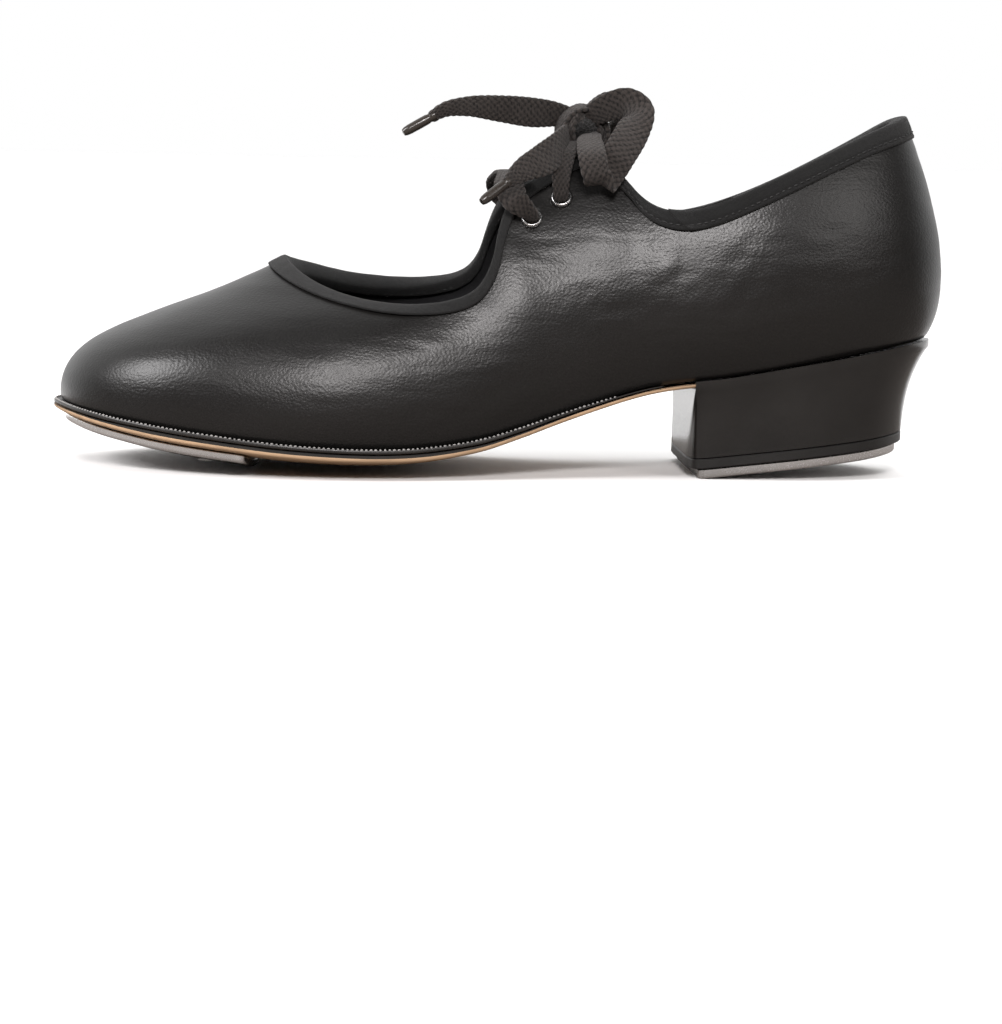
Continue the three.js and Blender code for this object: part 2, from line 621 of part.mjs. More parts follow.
function heelBlock() {
  const seat = plan(solePoints, { inset: 2 * GAP, from: HEEL_BREAST });
  const foot = plan(heelFootPoints, { from: HEEL_FRONT });
  const curveIn = 2.3;           // of the back, at half height
  const drawIn = 0.012;          // share of the width, for each millimetre of that
  const count = 5;
  const levels = steps(count).map((h) => {
    const pinch = Math.sin(Math.PI * h ** 0.8) * curveIn;
    const at = (u, w) => {
      const [seatX, seatY] = seat.at(u, w);
      const [footX, footY] = foot.at(u, w);
      const y = mix(seatY, footY, h);
      return [mix(seatX, footX, h) - pinch * u * u, y * (1 - drawIn * pinch * (1 - u))];
    };
    const height = (x, y) => mix(outsoleBottom(x, y) - GAP, heelBottom(x), h);
    return { outline: { at }, height };
  });
  return plate(levels, 14, 4);
}

function topLift() {
  const outline = plan(heelFootPoints, { from: HEEL_FRONT });
  return plate([{ outline, height: liftTop }, { outline, height: liftBottom }], 14, 3);
}

function heelTap() {
  const inset = (bevel) => plan(heelFootPoints, { inset: HEEL_TAP_INSET + bevel, from: TAP_FRONT + bevel });
  return plate([
    { outline: inset(0), height: over(tapFace, HEEL_TAP_THICKNESS) },
    { outline: inset(0), height: over(tapFace, TAP_BEVEL) },
    { outline: inset(TAP_BEVEL), height: tapFace },
  ], 14, 3);
}

const TOE_TAP_LOW = -TAP_GAP - TOE_TAP_THICKNESS;

function toeTap() {
  const bow = 3;                 // by which the rear edge stands out behind its corners
  const rearCorner = gradedX(TOE_TAP_REAR) - bow;
  const front = plan(solePoints, { inset: TOE_TAP_INSET });
  const stops = [0, 0.16, 0.32, 0.5, 0.68, 0.84, 1].map((t) => mix(front.front, rearCorner, t));
  const lateral = stops.map((x) => [x, front.span(x)[0]]);
  const medial = stops.slice(1).map((x) => [x, front.span(x)[1]]).reverse();
  const rear = [[bow - 0.4, -18], [bow + 0.4, 0], [bow - 0.4, 20]].map(([x, y]) => [rearCorner + x, y]);
  const rim = [...lateral, ...rear, ...medial].map(([x, y]) => new THREE.Vector3(x, y, 0));
  const outline = plan(rim);
  return plate([
    { outline, height: over(outsoleBottom, -TAP_GAP) },
    { outline, height: over(outsoleBottom, TOE_TAP_LOW + TAP_BEVEL) },
    { outline: plan(rim, { inset: TAP_BEVEL }), height: over(outsoleBottom, TOE_TAP_LOW) },
  ], 14, 6);
}

// ---------------------------------------------------------------- fasteners
const downward = () => new THREE.Vector3(0, 0, -1);
const tapNormal = () => new THREE.Vector3(tiltRate, 0, -1).normalize();
const TOE_SCREW = { head: 2.6, shank: 1.2, length: 4.1 };
const HEEL_SCREW = { head: 2.6, shank: 1.3, length: 12 };
const LONG_SCREW = { head: 3.4, shank: 2, length: 24 };
const NAIL = { head: 1.8, shank: 0.9, length: 15 };
const RIVET_RADIUS = 1.6;
const SINK = 0.1;              // of a fastener's head below the face it is driven into

const toeScrewSeats = [[-104, 1], [-80, -22], [-80, 25]].map(([x, y]) => {
  const p = graded(x, y, 0);
  return p.setZ(outsoleBottom(p.x, p.y) + TOE_TAP_LOW + SINK);
});
const heelScrewSeats = [[12, -17], [12, 17], [50, 0.5]].map((place) => {
  const p = behindBreast(place);
  return p.setZ(tapFace(p.x) + SINK);
});
const onInsole = (x, y) => new THREE.Vector3(x, y, bed(x, y) + INSOLE_HIGH - SINK);
const bedNormal = ({ x, y }) => {
  const slopes = [bed(x - 1, y) - bed(x + 1, y), bed(x, y - 1) - bed(x, y + 1)];
  return new THREE.Vector3(...slopes, 2).normalize();
};
const longScrewSeat = onInsole(gradedX(84), SHANK_MIDDLE + 1.5);
// Each nail's place along the foot, and how far it stands beside the shank, on either side.
const nailSeats = [[68, -5], [68, 8], [98, -1], [98, 4]].map(([x, beside]) => {
  const edge = SHANK_MIDDLE + Math.sign(beside) * SHANK_WIDTH / 2;
  return onInsole(gradedX(x), edge + beside);
});
const rivetSeats = [2, 60].map((x) => onInsole(gradedX(x), SHANK_MIDDLE));
const rivetLength = INSOLE_HIGH - UPPER_THICKNESS + SHANK_THICKNESS - 2 * SINK;
const peg = (radius, low, high) => turned([[0, low], [radius, low], [radius, high], [0, high]], 8);
const rivet = () => peg(RIVET_RADIUS, -rivetLength, 0);
const rivetHole = () => peg(RIVET_RADIUS + GAP, -rivetLength - 8 * GAP, 8 * GAP);
const holesFor = (seats, kind, directionAt) => {
  const hole = fastener({ ...kind, grow: GAP });
  return seats.map((seat) => placed(hole, seat, directionAt(seat)));
};

const toeHoles = holesFor(toeScrewSeats, TOE_SCREW, downward);
const heelHoles = holesFor(heelScrewSeats, HEEL_SCREW, tapNormal);
const longHole = holesFor([longScrewSeat], LONG_SCREW, bedNormal);
const nailHoles = holesFor(nailSeats, NAIL, bedNormal);
const rivetHoles = rivetSeats.map((seat) => placed(rivetHole(), seat, bedNormal(seat)));

// ---------------------------------------------------------------- lace
// The tied lace: a bar over the front of the lacing tabs, two crossings inside, and from each
// rear eyelet a riser, a bow loop and a tail. The knot holds them together.
const LACE = {
  lace_bar: [[4.8, -25.4, 70], [1.6, -24.6, 74.6], [0.2, -20.8, 79.4], [1.6, -12, 84], [2.4, 0, 85.6],
    [1.6, 12, 84], [0.2, 20.8, 79.4], [1.6, 24.6, 74.6], [4.8, 25.4, 70]],
  lace_riser_lateral: [[13.6, -22.6, 76.6], [14.2, -20.4, 81.2], [15.6, -15.5, 87], [17.6, -8.6, 89.4],
    [19.6, -3, 90.6]],
  lace_riser_medial: [[13.6, 22.6, 76.6], [14.2, 20.4, 81.2], [15.6, 15.5, 87], [17.6, 8.6, 89.4],
    [19.6, 3, 90.6]],
  lace_loop_lateral: [[22, -3, 96], [27, -5.6, 99.4], [32.6, -8, 101], [35.8, -11.4, 98.6],
    [33.4, -16.4, 93], [30, -20.6, 87.6], [27, -22.8, 82.6], [24.8, -24.8, 79.6], [23, -27.2, 81.6],
    [22, -25.4, 86.6], [22, -16, 90.6], [22.6, -6, 92]],
  lace_loop_medial: [[22, 4, 95], [26.4, 9.6, 99], [31, 15.4, 100.6], [34.6, 22, 97], [34.6, 27.6, 89.4],
    [31, 30, 82.6], [27.4, 29.2, 83.6], [25.6, 22.4, 89.4], [25.4, 12.6, 93.4], [23, 4, 94]],
  lace_tail_lateral: [[17, -4, 94.8], [15.4, -11.6, 93], [13, -18.6, 88.8], [8.8, -23, 85.2],
    [3.6, -26, 82.6], [-1.4, -28.6, 78.8]],
  lace_tail_medial: [[19.4, 0.6, 97], [13.6, -2.6, 99], [6.4, -5.8, 100.6], [-2, -8.4, 100.8],
    [-10, -9.4, 99], [-16, -10, 96.4], [-21, -10.2, 93.9]],
};
const KNOT = { centre: [20.4, 0, 93.2], radii: [5, 6.6, 4.8] };
const LACE_STEP = 7;
const LACE_EASE = 0.15;        // between an eyelet and the lace's end inside it
// The lace's crossings inside the shoe: share of the way across, and rise as a share of the arch.
const CROSSING = [[0, 0], [0.25, 1], [0.5, 1.25], [0.75, 1], [1, 0]];
const ARCH = { lateral: 1.2, medial: 5 };

const vectors = (points) => points.map((p) => new THREE.Vector3(...p));

function cordShape(radius) {
  const ring = Array.from({ length: 8 }, (_, i) => {
    const angle = i * Math.PI / 4;
    return new THREE.Vector2(radius * Math.cos(angle), radius * Math.sin(angle));
  });
  return new THREE.Shape(ring);
}

function cord(points) {
  const path = new THREE.CatmullRomCurve3(vectors(points), false, 'centripetal');
  const count = Math.max(3, Math.round(path.getLength() / LACE_STEP));
  const settings = { steps: count, extrudePath: path, bevelEnabled: false };
  return closed(new THREE.ExtrudeGeometry(cordShape(LACE_THICKNESS / 2), settings));
}

function knot(grow = 0) {
  const shape = new THREE.IcosahedronGeometry(1, 1).scale(...KNOT.radii.map((r) => r + grow));
  return closed(shape.translate(...KNOT.centre));
}

// The two runs inside the shoe, each from a front eyelet to the rear eyelet of the other side.
function innerLace(side) {
  const find = (name) => eyeletSeats.find((seat) => seat.name === name);
  const other = side === 'lateral' ? 'medial' : 'lateral';
  const depth = -(DEPTH.total + 2 * GAP + EYELET_INNER_ROLL + LACE_THICKNESS / 2) + LACE_EASE;
  const from = find(`eyelet_${side}_front`);
  const to = find(`eyelet_${other}_rear`);
  const start = from.point.clone().addScaledVector(from.normal, depth);
  const end = to.point.clone().addScaledVector(to.normal, depth);
  return cord(CROSSING.map(([t, rise]) => {
    const p = start.clone().lerp(end, t);
    return [p.x, p.y, p.z + rise * ARCH[side]];
  }));
}

function aglet(points) {
  const [before, last] = vectors(points.slice(-2));
  const along = last.clone().sub(before).normalize();
  const start = last.clone().addScaledVector(along, GAP);
  const round = 0.6;
  const outline = [[0, 0], [AGLET_RADIUS, 0], [AGLET_RADIUS, AGLET_LENGTH - round],
    [AGLET_RADIUS - round, AGLET_LENGTH], [0, AGLET_LENGTH]];
  return placed(turned(outline, 10), start, along);
}

// ---------------------------------------------------------------- materials
function finish(color, roughness, metalness = 0) {
  return new THREE.MeshStandardMaterial({ color, roughness, metalness });
}

const LEATHER = finish(0x2b2928, 0.45);
const LINING = finish(0x17171a, 0.9);
const BINDING = finish(0x232427, 0.85);
const BOARD = finish(0x8a6a48, 0.85);
const SOLE = finish(0x202020, 0.5);
const TAN = finish(0xb98a5c, 0.7);
const FILLER = finish(0x6d4f36, 0.95);
const STEEL = finish(0x8e9298, 0.35, 1);
const ALUMINIUM = finish(0xd6d9dc, 0.28, 1);
const HEEL = finish(0x252424, 0.35);
const RUBBER = finish(0x161616, 0.7);
const BRAID = finish(0x2a2522, 0.9);
const PLASTIC = finish(0x38322d, 0.4);

// ---------------------------------------------------------------- assembly
const shoe = new THREE.Group();
shoe.name = 'tap_shoe';

function add(name, geometry, material) {
  const flat = geometry.index ? geometry.toNonIndexed() : geometry;
  const solid = closed(mergeVertices(flat, 1e-4));
  solid.computeVertexNormals();
  const mesh = new THREE.Mesh(solid, material);
  mesh.name = name;
  shoe.add(mesh);
}

function addEach(name, seats, shape, directionAt) {
  seats.forEach((seat, i) => add(`${name}_${i + 1}`, placed(shape, seat, directionAt(seat)), STEEL));
}

add('upper', cut(upperGeometry(), eyeletHoles()), LEATHER);
add('lining', cut(liningGeometry(), eyeletHoles()), LINING);
add('vamp_binding', vampBinding(), BINDING);
add('collar_binding', collarBinding(), BINDING);
add('toe_puff', toePuff(), FILLER);
add('heel_counter', heelCounter(), FILLER);
add('eyelet_stay_lateral', cut(eyeletStay(false), eyeletHoles('lateral')), FILLER);
add('eyelet_stay_medial', cut(eyeletStay(true), eyeletHoles('medial')), FILLER);
eyeletSeats.forEach(({ name, point, normal }) => {
  add(name, placed(eyeletGeometry(), point, normal), ALUMINIUM);
});

add('sock_lining', sockLining(), LINING);
add('insole_board', cut(insoleBoard(), [...longHole, ...nailHoles, ...rivetHoles]), BOARD);
add('bottom_filler', bottomFiller(), FILLER);
add('shank', cut(shank(), [...longHole, ...rivetHoles]), STEEL);
addEach('shank_rivet', rivetSeats, rivet(), bedNormal);
add('rand', rand(), SOLE);
add('outsole', cut(outsole(), [...toeHoles, ...longHole, ...nailHoles]), TAN);

add('heel_block', cut(heelBlock(), [...heelHoles, ...longHole, ...nailHoles]), HEEL);
add('top_lift', cut(topLift(), heelHoles), RUBBER);
add('heel_tap', cut(heelTap(), heelHoles), ALUMINIUM);
add('toe_tap', cut(toeTap(), toeHoles), ALUMINIUM);
addEach('toe_tap_screw', toeScrewSeats, fastener(TOE_SCREW), downward);
addEach('heel_tap_screw', heelScrewSeats, fastener(HEEL_SCREW), tapNormal);
add('heel_screw', placed(fastener(LONG_SCREW), longScrewSeat, bedNormal(longScrewSeat)), STEEL);
addEach('heel_nail', nailSeats, fastener(NAIL), bedNormal);

const knotSpace = knot(GAP);
Object.entries(LACE).forEach(([name, points]) => add(name, cut(cord(points), [knotSpace]), BRAID));
add('lace_crossing_lateral', innerLace('lateral'), BRAID);
add('lace_crossing_medial', innerLace('medial'), BRAID);
add('lace_knot', knot(), BRAID);
add('aglet_lateral', aglet(LACE.lace_tail_lateral), PLASTIC);
add('aglet_medial', aglet(LACE.lace_tail_medial), PLASTIC);

export default shoe;
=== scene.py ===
"""A low-heeled tie tap shoe for the left foot: leather upper, folded tape bindings, a flat braided
lace tied in a bow, a heeled sole and metal taps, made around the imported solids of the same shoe.

Lengths in this file are millimetres until a mesh is made. The settings, the camera and the lights
are in metres. The toe points along -X, the outer (lateral) side of the foot is -Y, and the floor is
z = 0.
"""

import math

import bmesh
import bpy
import numpy as np
from mathutils import Matrix, Vector, noise


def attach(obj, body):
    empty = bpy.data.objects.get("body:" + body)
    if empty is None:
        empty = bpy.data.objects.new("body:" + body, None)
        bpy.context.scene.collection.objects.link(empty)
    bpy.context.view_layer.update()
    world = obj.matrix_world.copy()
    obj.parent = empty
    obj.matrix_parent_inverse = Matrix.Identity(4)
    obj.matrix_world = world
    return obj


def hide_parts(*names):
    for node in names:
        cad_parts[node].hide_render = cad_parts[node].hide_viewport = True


bl_info = {
    "name": "Tap Shoe",
    "version": (1, 0, 0),
    "blender": (4, 5, 0),
    "location": "3D View > Sidebar > Tap Shoe",
    "description": "Makes a tie tap shoe, piece by piece, around its packed solids",
    "category": "Add Mesh",
}

MM = 0.001
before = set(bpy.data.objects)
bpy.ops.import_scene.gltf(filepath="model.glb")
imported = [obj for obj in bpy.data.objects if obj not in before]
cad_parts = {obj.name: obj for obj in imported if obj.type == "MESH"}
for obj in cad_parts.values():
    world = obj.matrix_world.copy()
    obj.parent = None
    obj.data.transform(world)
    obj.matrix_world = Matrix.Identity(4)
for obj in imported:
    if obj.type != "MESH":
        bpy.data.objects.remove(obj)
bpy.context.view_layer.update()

# ---------------------------------------------------------------- the shoe's own sizes
GAP = 0.3
UPPER_THICKNESS = 1.2
STIFFENER_THICKNESS = 0.8
LINING_THICKNESS = 0.6
STIFFENER_DEPTH = UPPER_THICKNESS + GAP
LINING_DEPTH = STIFFENER_DEPTH + STIFFENER_THICKNESS + GAP
WALL_DEPTH = LINING_DEPTH + LINING_THICKNESS
LASTING_MARGIN = 8.0
TAPE_THICKNESS = 0.5
TAPE_EASE = 0.5
VAMP_TAPE_WIDTH = 3.2
COLLAR_TAPE_WIDTH = 4.8

BALL_WIDTH = 84.0
SOLE_CROWN = 4.3
RAND_THICKNESS = 1.0
RAND_WIDTH = 6.0
RAND_GAP = 0.35
SOLE_THICKNESS = 3.6
SEAT_THICKNESS = 1.9
SOLE_BEVEL = 0.7
INSOLE_TOP = UPPER_THICKNESS + GAP + 2.0
SOCK_THICKNESS = 0.8
WAIST_FRONT = -5.0
HEEL_BREAST = 51.5
RAND_END = HEEL_BREAST - 8.0

TOP_LIFT_THICKNESS = 2.7
HEEL_TAP_THICKNESS = 2.6
HEEL_TAP_INSET = 1.6
TOE_TAP_THICKNESS = 2.1
TOE_TAP_INSET = 3.0
TOE_TAP_REAR = -67.0
TAP_GAP = 0.4
TAP_BEVEL = 0.8
HEEL_SLOPE = math.tan(math.radians(6.5))  # the rise of the heel's underside to the back

EYELET_BORE = 2.0  # a radius, like the flange
EYELET_FLANGE = 2.8
EYELET_WALL = 0.3
EYELET_HOLE = EYELET_BORE + EYELET_WALL + GAP / 2
EYELET_SETBACK = 8.0
EYELET_STATIONS = (9.2, 10.1)
AGLET_LENGTH = 10.0
AGLET_RADIUS = 1.4
AGLET_LAP = 1.2  # over the end of the lace

TAP_SCREW_HEAD = 2.6
TAP_SCREW_SHANK = 1.25
TOE_SCREW_LENGTH = 4.1
HEEL_SCREW_LENGTH = 12.0
TOE_SCREW_PLACES = ((-104, 1), (-80, -22), (-80, 25))
HEEL_SCREW_PLACES = ((12, -17), (12, 17), (50, 0.5))  # from the heel's breast

# The last that the upper is stretched over, station by station from the toe along one side.
# feather: x, z, lateral y, medial y. topline: the same, and the rise of the medial side.
# swell: how far the wall stands out, low down and high up, each with its lift.
TOE = ((-122, 17.2, 6, 6), (-60.5, 57, 3, 3, 0), (22.5, 8, 12, -5))
BACK = ((119, 38.2, 0, 0), (111, 98.8, 0, 0, 0), (11.7, -8.4, 7.8, -2.6))
SIDE = (
    ((-117, 16.6, -15, 20.5), (-58, 54.6, -7, 12.5, 1), (20, 8, 12, -3)),
    ((-103, 14.6, -28.5, 31.5), (-52.5, 51, -15.8, 20, 3), (14, 6, 11, 0)),
    ((-82, 11.9, -36.5, 38.5), (-43.5, 47.6, -23.2, 25.8, 4), (10, 2, 9, 3)),
    ((-55, 9.3, -40.5, 41), (-31, 45.7, -28, 28.8, 4.5), (8.5, 0, 8, 2)),
    ((-28, 8.7, -38.6, 33.5), (-18, 46.4, -30, 30, 4), (6.5, 0, 6, 1)),
    ((-8, 11, -35, 25.5), (-8.5, 49.8, -30, 30, 3), (5.5, 0, 5, 0)),
    ((5, 14.6, -31.6, 22.5), (-4, 57.5, -27.8, 27.8, 2), (6.5, 0, 6.5, 0)),
    ((12, 17, -30, 21.8), (-2, 67, -23.2, 23.2, 1), (8, 0, 9.5, 0)),
    ((18, 19, -28.9, 21.8), (2, 75.5, -17.8, 17.8, 0.5), (10, 0, 12, 0)),
    ((25, 21.2, -27.9, 22), (11.5, 81.8, -14.2, 14.2, 0), (11.5, 0, 13.5, 0)),
    ((32, 23.3, -27.2, 22.5), (21, 86.6, -13, 13, 0), (12, 0, 14, 0)),
    ((39, 25.1, -26.7, 23.4), (29, 83.2, -16.4, 16.4, 0), (10.5, 0, 12, 0)),
    ((47, 26.5, -26.5, 24.7), (37.5, 73.8, -24, 24, 0), (8, 0, 8, 0)),
    ((60, 28.1, -26.6, 26.2), (49, 71.6, -27, 27.4, -1.6), (7.5, 0, 5.5, 0)),
    ((82, 32, -25.8, 26.8), (72, 81.2, -25.8, 26.2, -4.4), (7.5, 0, 6, 0)),
    ((105.5, 36.3, -19.6, 20), (97.5, 93.3, -16, 16.2, -2.4), (8.6, -2, 7.2, 0)),
    ((115, 37.8, -11.2, 11.6), (107.6, 97.4, -9.2, 9.2, 0), (10.6, -6, 7.6, -2)),
)
BACK_STATION = len(SIDE) + 1
STATIONS = 2 * BACK_STATION
TAB_STATION = 12
TAPE_GAP = 0.04  # in stations, where the two tapes meet on the tab

SOLE_PLAN = (
    (-123.2, 5), (-119.7, -10), (-110, -24.5), (-92, -35), (-66, -41.2), (-40, -42.2), (-15, -38.4),
    (10, -32.2), (40, -27.8), (70, -27), (95, -24.8), (111, -16.6), (119, -5), (119, 5), (111, 17),
    (95, 25.2), (70, 27), (45, 24.6), (15, 23.2), (-10, 27.8), (-34, 37), (-56, 42), (-80, 40.6),
    (-101, 33.4), (-115.5, 22),
)
HEEL_FOOT = (
    (-0.6, 0), (-0.4, -20), (1.2, -25.6), (14, -26.6), (32, -25.8), (50, -20), (59.5, -9), (61.4, 0.5),
    (59.5, 10), (50, 20.6), (32, 26), (14, 26.6), (1.2, 25.6), (-0.4, 20),
)
HEEL_EDGE = [(HEEL_BREAST + x, y) for x, y in HEEL_FOOT]

# The lace, each point with the direction of its width and its share of the full width.
RISER = (
    ((13.6, -22.6, 76.6), (1, 0, 0), 0.5),
    ((14.2, -20.4, 81.2), (1, 0, 0), 0.62),
    ((15.6, -15.5, 87), (1, 0.1, 0), 0.7),
    ((17.6, -8.6, 89.4), (1, 0.2, 0), 0.7),
    ((19.6, -3, 90.6), (1, 0.2, 0.1), 0.6),
)
LOOP_LATERAL = (
    ((22, -3, 96), (-0.5, -0.2, 0.8), 0.7),
    ((27, -5.6, 99.4), (-0.45, -0.2, 0.85), 0.95),
    ((32.6, -8, 101), (0.1, -0.15, 1), 1.05),
    ((35.8, -11.4, 98.6), (0.8, -0.1, 0.6), 1.05),
    ((33.4, -16.4, 93), (0.88, -0.1, -0.3), 1.15),
    ((30, -20.6, 87.6), (0.85, 0, -0.5), 1.15),
    ((27, -22.8, 82.6), (0.88, 0.1, -0.45), 1.1),
    ((24.8, -24.8, 79.6), (0.95, 0.2, -0.2), 1),
    ((23, -27.2, 81.6), (0.97, 0.2, 0), 0.95),
    ((22, -25.4, 86.6), (1, 0.1, 0.1), 0.95),
    ((22, -16, 90.6), (0.97, 0.1, 0.1), 0.85),
    ((22.6, -6, 92), (0.9, 0.2, 0.2), 0.65),
)
TAIL_LATERAL = (
    ((17.4, -5.6, 92), (-0.1, -0.35, 0.9), 0.7),
    ((15.6, -12.2, 90.8), (-0.2, -0.2, 0.95), 0.95),
    ((13, -18.4, 88.2), (-0.35, -0.1, 0.93), 1.05),
    ((8.8, -23, 85.2), (-0.45, 0.1, 0.88), 1.05),
    ((3.6, -26, 82.6), (-0.5, 0.1, 0.85), 0.8),
    ((-1.4, -28.6, 78.8), (-0.6, -0.1, 0.75), 0.36),
)
LOOP_MEDIAL = (
    ((22, 4, 95), (-0.5, 0.4, 0.75), 0.6),
    ((26.4, 9.6, 99), (-0.35, 0.5, 0.8), 0.85),
    ((31, 15.4, 100.6), (0.05, 0.55, 0.83), 1),
    ((34.6, 22, 97), (0.9, 0.1, 0.4), 1),
    ((34.6, 27.6, 89.4), (0.95, 0.2, -0.12), 1),
    ((31, 30, 82.6), (0.9, 0, -0.4), 0.95),
    ((27.4, 29.2, 83.6), (0.97, -0.1, 0), 0.95),
    ((25.6, 22.4, 89.4), (1, 0, 0.1), 1),
    ((25.4, 12.6, 93.4), (0.95, -0.1, 0.1), 0.9),
    ((23, 4, 94), (0.9, -0.2, 0.2), 0.6),
)
TAIL_MEDIAL = (
    ((19.4, 0.6, 96.6), (0.1, -0.4, 0.9), 0.55),
    ((13.6, -2.6, 97.6), (0.1, -0.25, 0.95), 0.85),
    ((6.8, -5.4, 98), (0, -0.1, 1), 1),
    ((-2, -7.6, 98.8), (0.05, -0.2, 1), 0.9),
    ((-10.4, -9.2, 99.2), (0.1, 0, 1), 0.68),
    ((-17, -10, 98.2), (0.3, -0.1, 1), 0.5),
    ((-20.8, -10.2, 96), (0.5, -0.1, 0.9), 0.36),
)
BAR = (
    ((4.8, -25.4, 70), (1, 0, 0.4), 0.6),
    ((1.6, -24.6, 74.6), (1, 0, 0.4), 0.9),
    ((0.2, -20.8, 78.4), (1, 0, 0.2), 1),
    ((1.4, -12, 80.8), (1, 0, 0), 1),
    ((2.2, 0, 81.6), (1, 0, 0), 1),
)
KNOT_CENTRE = (20.4, 0, 93.2)
KNOT_RADII = (6, 9.2, 5.6)


# ---------------------------------------------------------------- numbers and curves
def ramp(low, high, x):
    return np.clip((np.asarray(x, float) - low) / (high - low), 0, 1)


def ease(t):
    return t * t * (3 - 2 * t)


def mix(a, b, t):
    return a + (b - a) * t


def unit(v):
    v = np.asarray(v, float)
    return v / np.maximum(np.linalg.norm(v, axis=-1, keepdims=True), 1e-12)


def unevenness(points, *sizes):
    """Smooth noise at each of a grid of points, with bumps of a size along each axis."""
    places = (points / sizes).reshape(-1, 3)
    return np.array([noise.noise(Vector(place)) for place in places]).reshape(points.shape[:-1])


def catmull_rom(points, count, closed=False):
    """count points along the centripetal curve through points; a closed one doesn't repeat its start."""
    points = np.asarray(points, float)
    n = len(points)
    if closed:
        place = np.arange(count) * n / count
        i = place.astype(int)
        around = [points[(i + k) % n] for k in (-1, 0, 1, 2)]
    else:
        place = np.linspace(0, n - 1, count)
        i = np.minimum(place.astype(int), n - 2)
        longer = np.vstack([2 * points[0] - points[1], points, 2 * points[-1] - points[-2]])
        around = [longer[i + k] for k in range(4)]
    w = (place - i)[:, None]
    a, b, c, d = around
    before, within, after = (
        np.sqrt(np.maximum(np.linalg.norm(q - p, axis=1), 1e-6))[:, None] for p, q in ((a, b), (b, c), (c, d))
    )
    leave = ((b - a) / before - (c - a) / (before + within) + (c - b) / within) * within
    arrive = ((c - b) / within - (d - b) / (within + after) + (d - c) / after) * within
    return (
        b + leave * w + (3 * (c - b) - 2 * leave - arrive) * w**2 + (2 * (b - c) + leave + arrive) * w**3
    )


def spaced(points, step):
    """The polyline again, with its points, and what else is in their rows, a step apart."""
    along = np.concatenate([[0], np.cumsum(np.linalg.norm(np.diff(points[:, :3], axis=0), axis=1))])
    at = np.linspace(0, along[-1], max(2, round(along[-1] / step) + 1))
    return np.stack([np.interp(at, along, points[:, k]) for k in range(points.shape[1])], axis=1)


# ---------------------------------------------------------------- the last's surface
SAMPLES = 48  # of each loop, from one station to the next
SOFTEN = 0.28  # in stations


def last_loops():
    """The feather line, the wall's two handle lines and the topline, each a softened loop."""
    ring = [(TOE, 2)] + [(row, 2) for row in SIDE] + [(BACK, 2)] + [(row, 3) for row in reversed(SIDE)]
    feather = np.array([(f[0], f[side], f[1]) for (f, _, _), side in ring], float)
    topline = np.array([(t[0], t[side], t[1] + t[4] * (side == 3)) for (_, t, _), side in ring], float)
    swell = np.array([s for (_, _, s), _ in ring], float)
    along = unit((np.roll(feather, -1, 0) - np.roll(feather, 1, 0)) * (1, 1, 0))
    outward = np.stack([along[:, 1], -along[:, 0], 0 * along[:, 0]], axis=1)
    upward = np.array([0, 0, 1.0])
    handles = [
        mix(feather, topline, share) + outward * swell[:, k, None] + upward * swell[:, k + 1, None]
        for share, k in ((1 / 3, 0), (2 / 3, 2))
    ]
    loops = [catmull_rom(p, STATIONS * SAMPLES, True) for p in (feather, *handles, topline)]
    reach = np.arange(-SAMPLES, SAMPLES + 1)
    weights = np.exp(-0.5 * (reach / (SOFTEN * SAMPLES)) ** 2)
    weights /= weights.sum()

    def softened(loop):
        return sum(w * np.roll(loop, k, 0) for w, k in zip(weights, reach, strict=True))

    return np.stack([softened(loop) for loop in loops])


LAST = last_loops()


def last_point(s, v):
    """Points of the last: station s round the foot, height v from feather 0 to topline 1."""
    s, v = np.broadcast_arrays(np.asarray(s, float) % STATIONS * SAMPLES, np.asarray(v, float))
    i = np.floor(s).astype(int)
    w = (s - i)[..., None]
    count = LAST.shape[1]
    a, b, c, d = (mix(loop[i % count], loop[(i + 1) % count], w) for loop in LAST)
    v = v[..., None]
    u = 1 - v
    return a * u**3 + 3 * b * u * u * v + 3 * c * u * v * v + d * v**3


def last_frame(s, v):
    """The point, the direction up the wall and the direction out of it."""
    small = 1e-3
    low = np.clip(v - small / 2, 0, 1 - small)
    up = unit(last_point(s, low + small) - last_point(s, low))
    along = unit(last_point(s + 0.05, v) - last_point(s - 0.05, v))
    return last_point(s, v), up, unit(np.cross(along, up))


def wall_point(s, v, depth):
    point, _, normal = last_frame(s, v)
    return point - normal * np.asarray(depth, float)[..., None]


def column_length(s):
    line = last_point(np.asarray(s, float)[..., None], np.linspace(0, 1, 25))
    return np.linalg.norm(np.diff(line, axis=-2), axis=-1).sum(-1)


def below_topline(s, distance, offset):
    """A point a distance down from the topline along the wall, and out of it by an offset."""
    s, distance, offset = np.broadcast_arrays(*(np.asarray(x, float) for x in (s, distance, offset)))
    v = 1 - np.maximum(distance, 0) / column_length(s)
    point, up, normal = last_frame(s, v)
    return point + up * np.maximum(0, -distance)[..., None] + normal * offset[..., None]


# ---------------------------------------------------------------- the sole's surfaces
OUTLINE_POINTS = 960


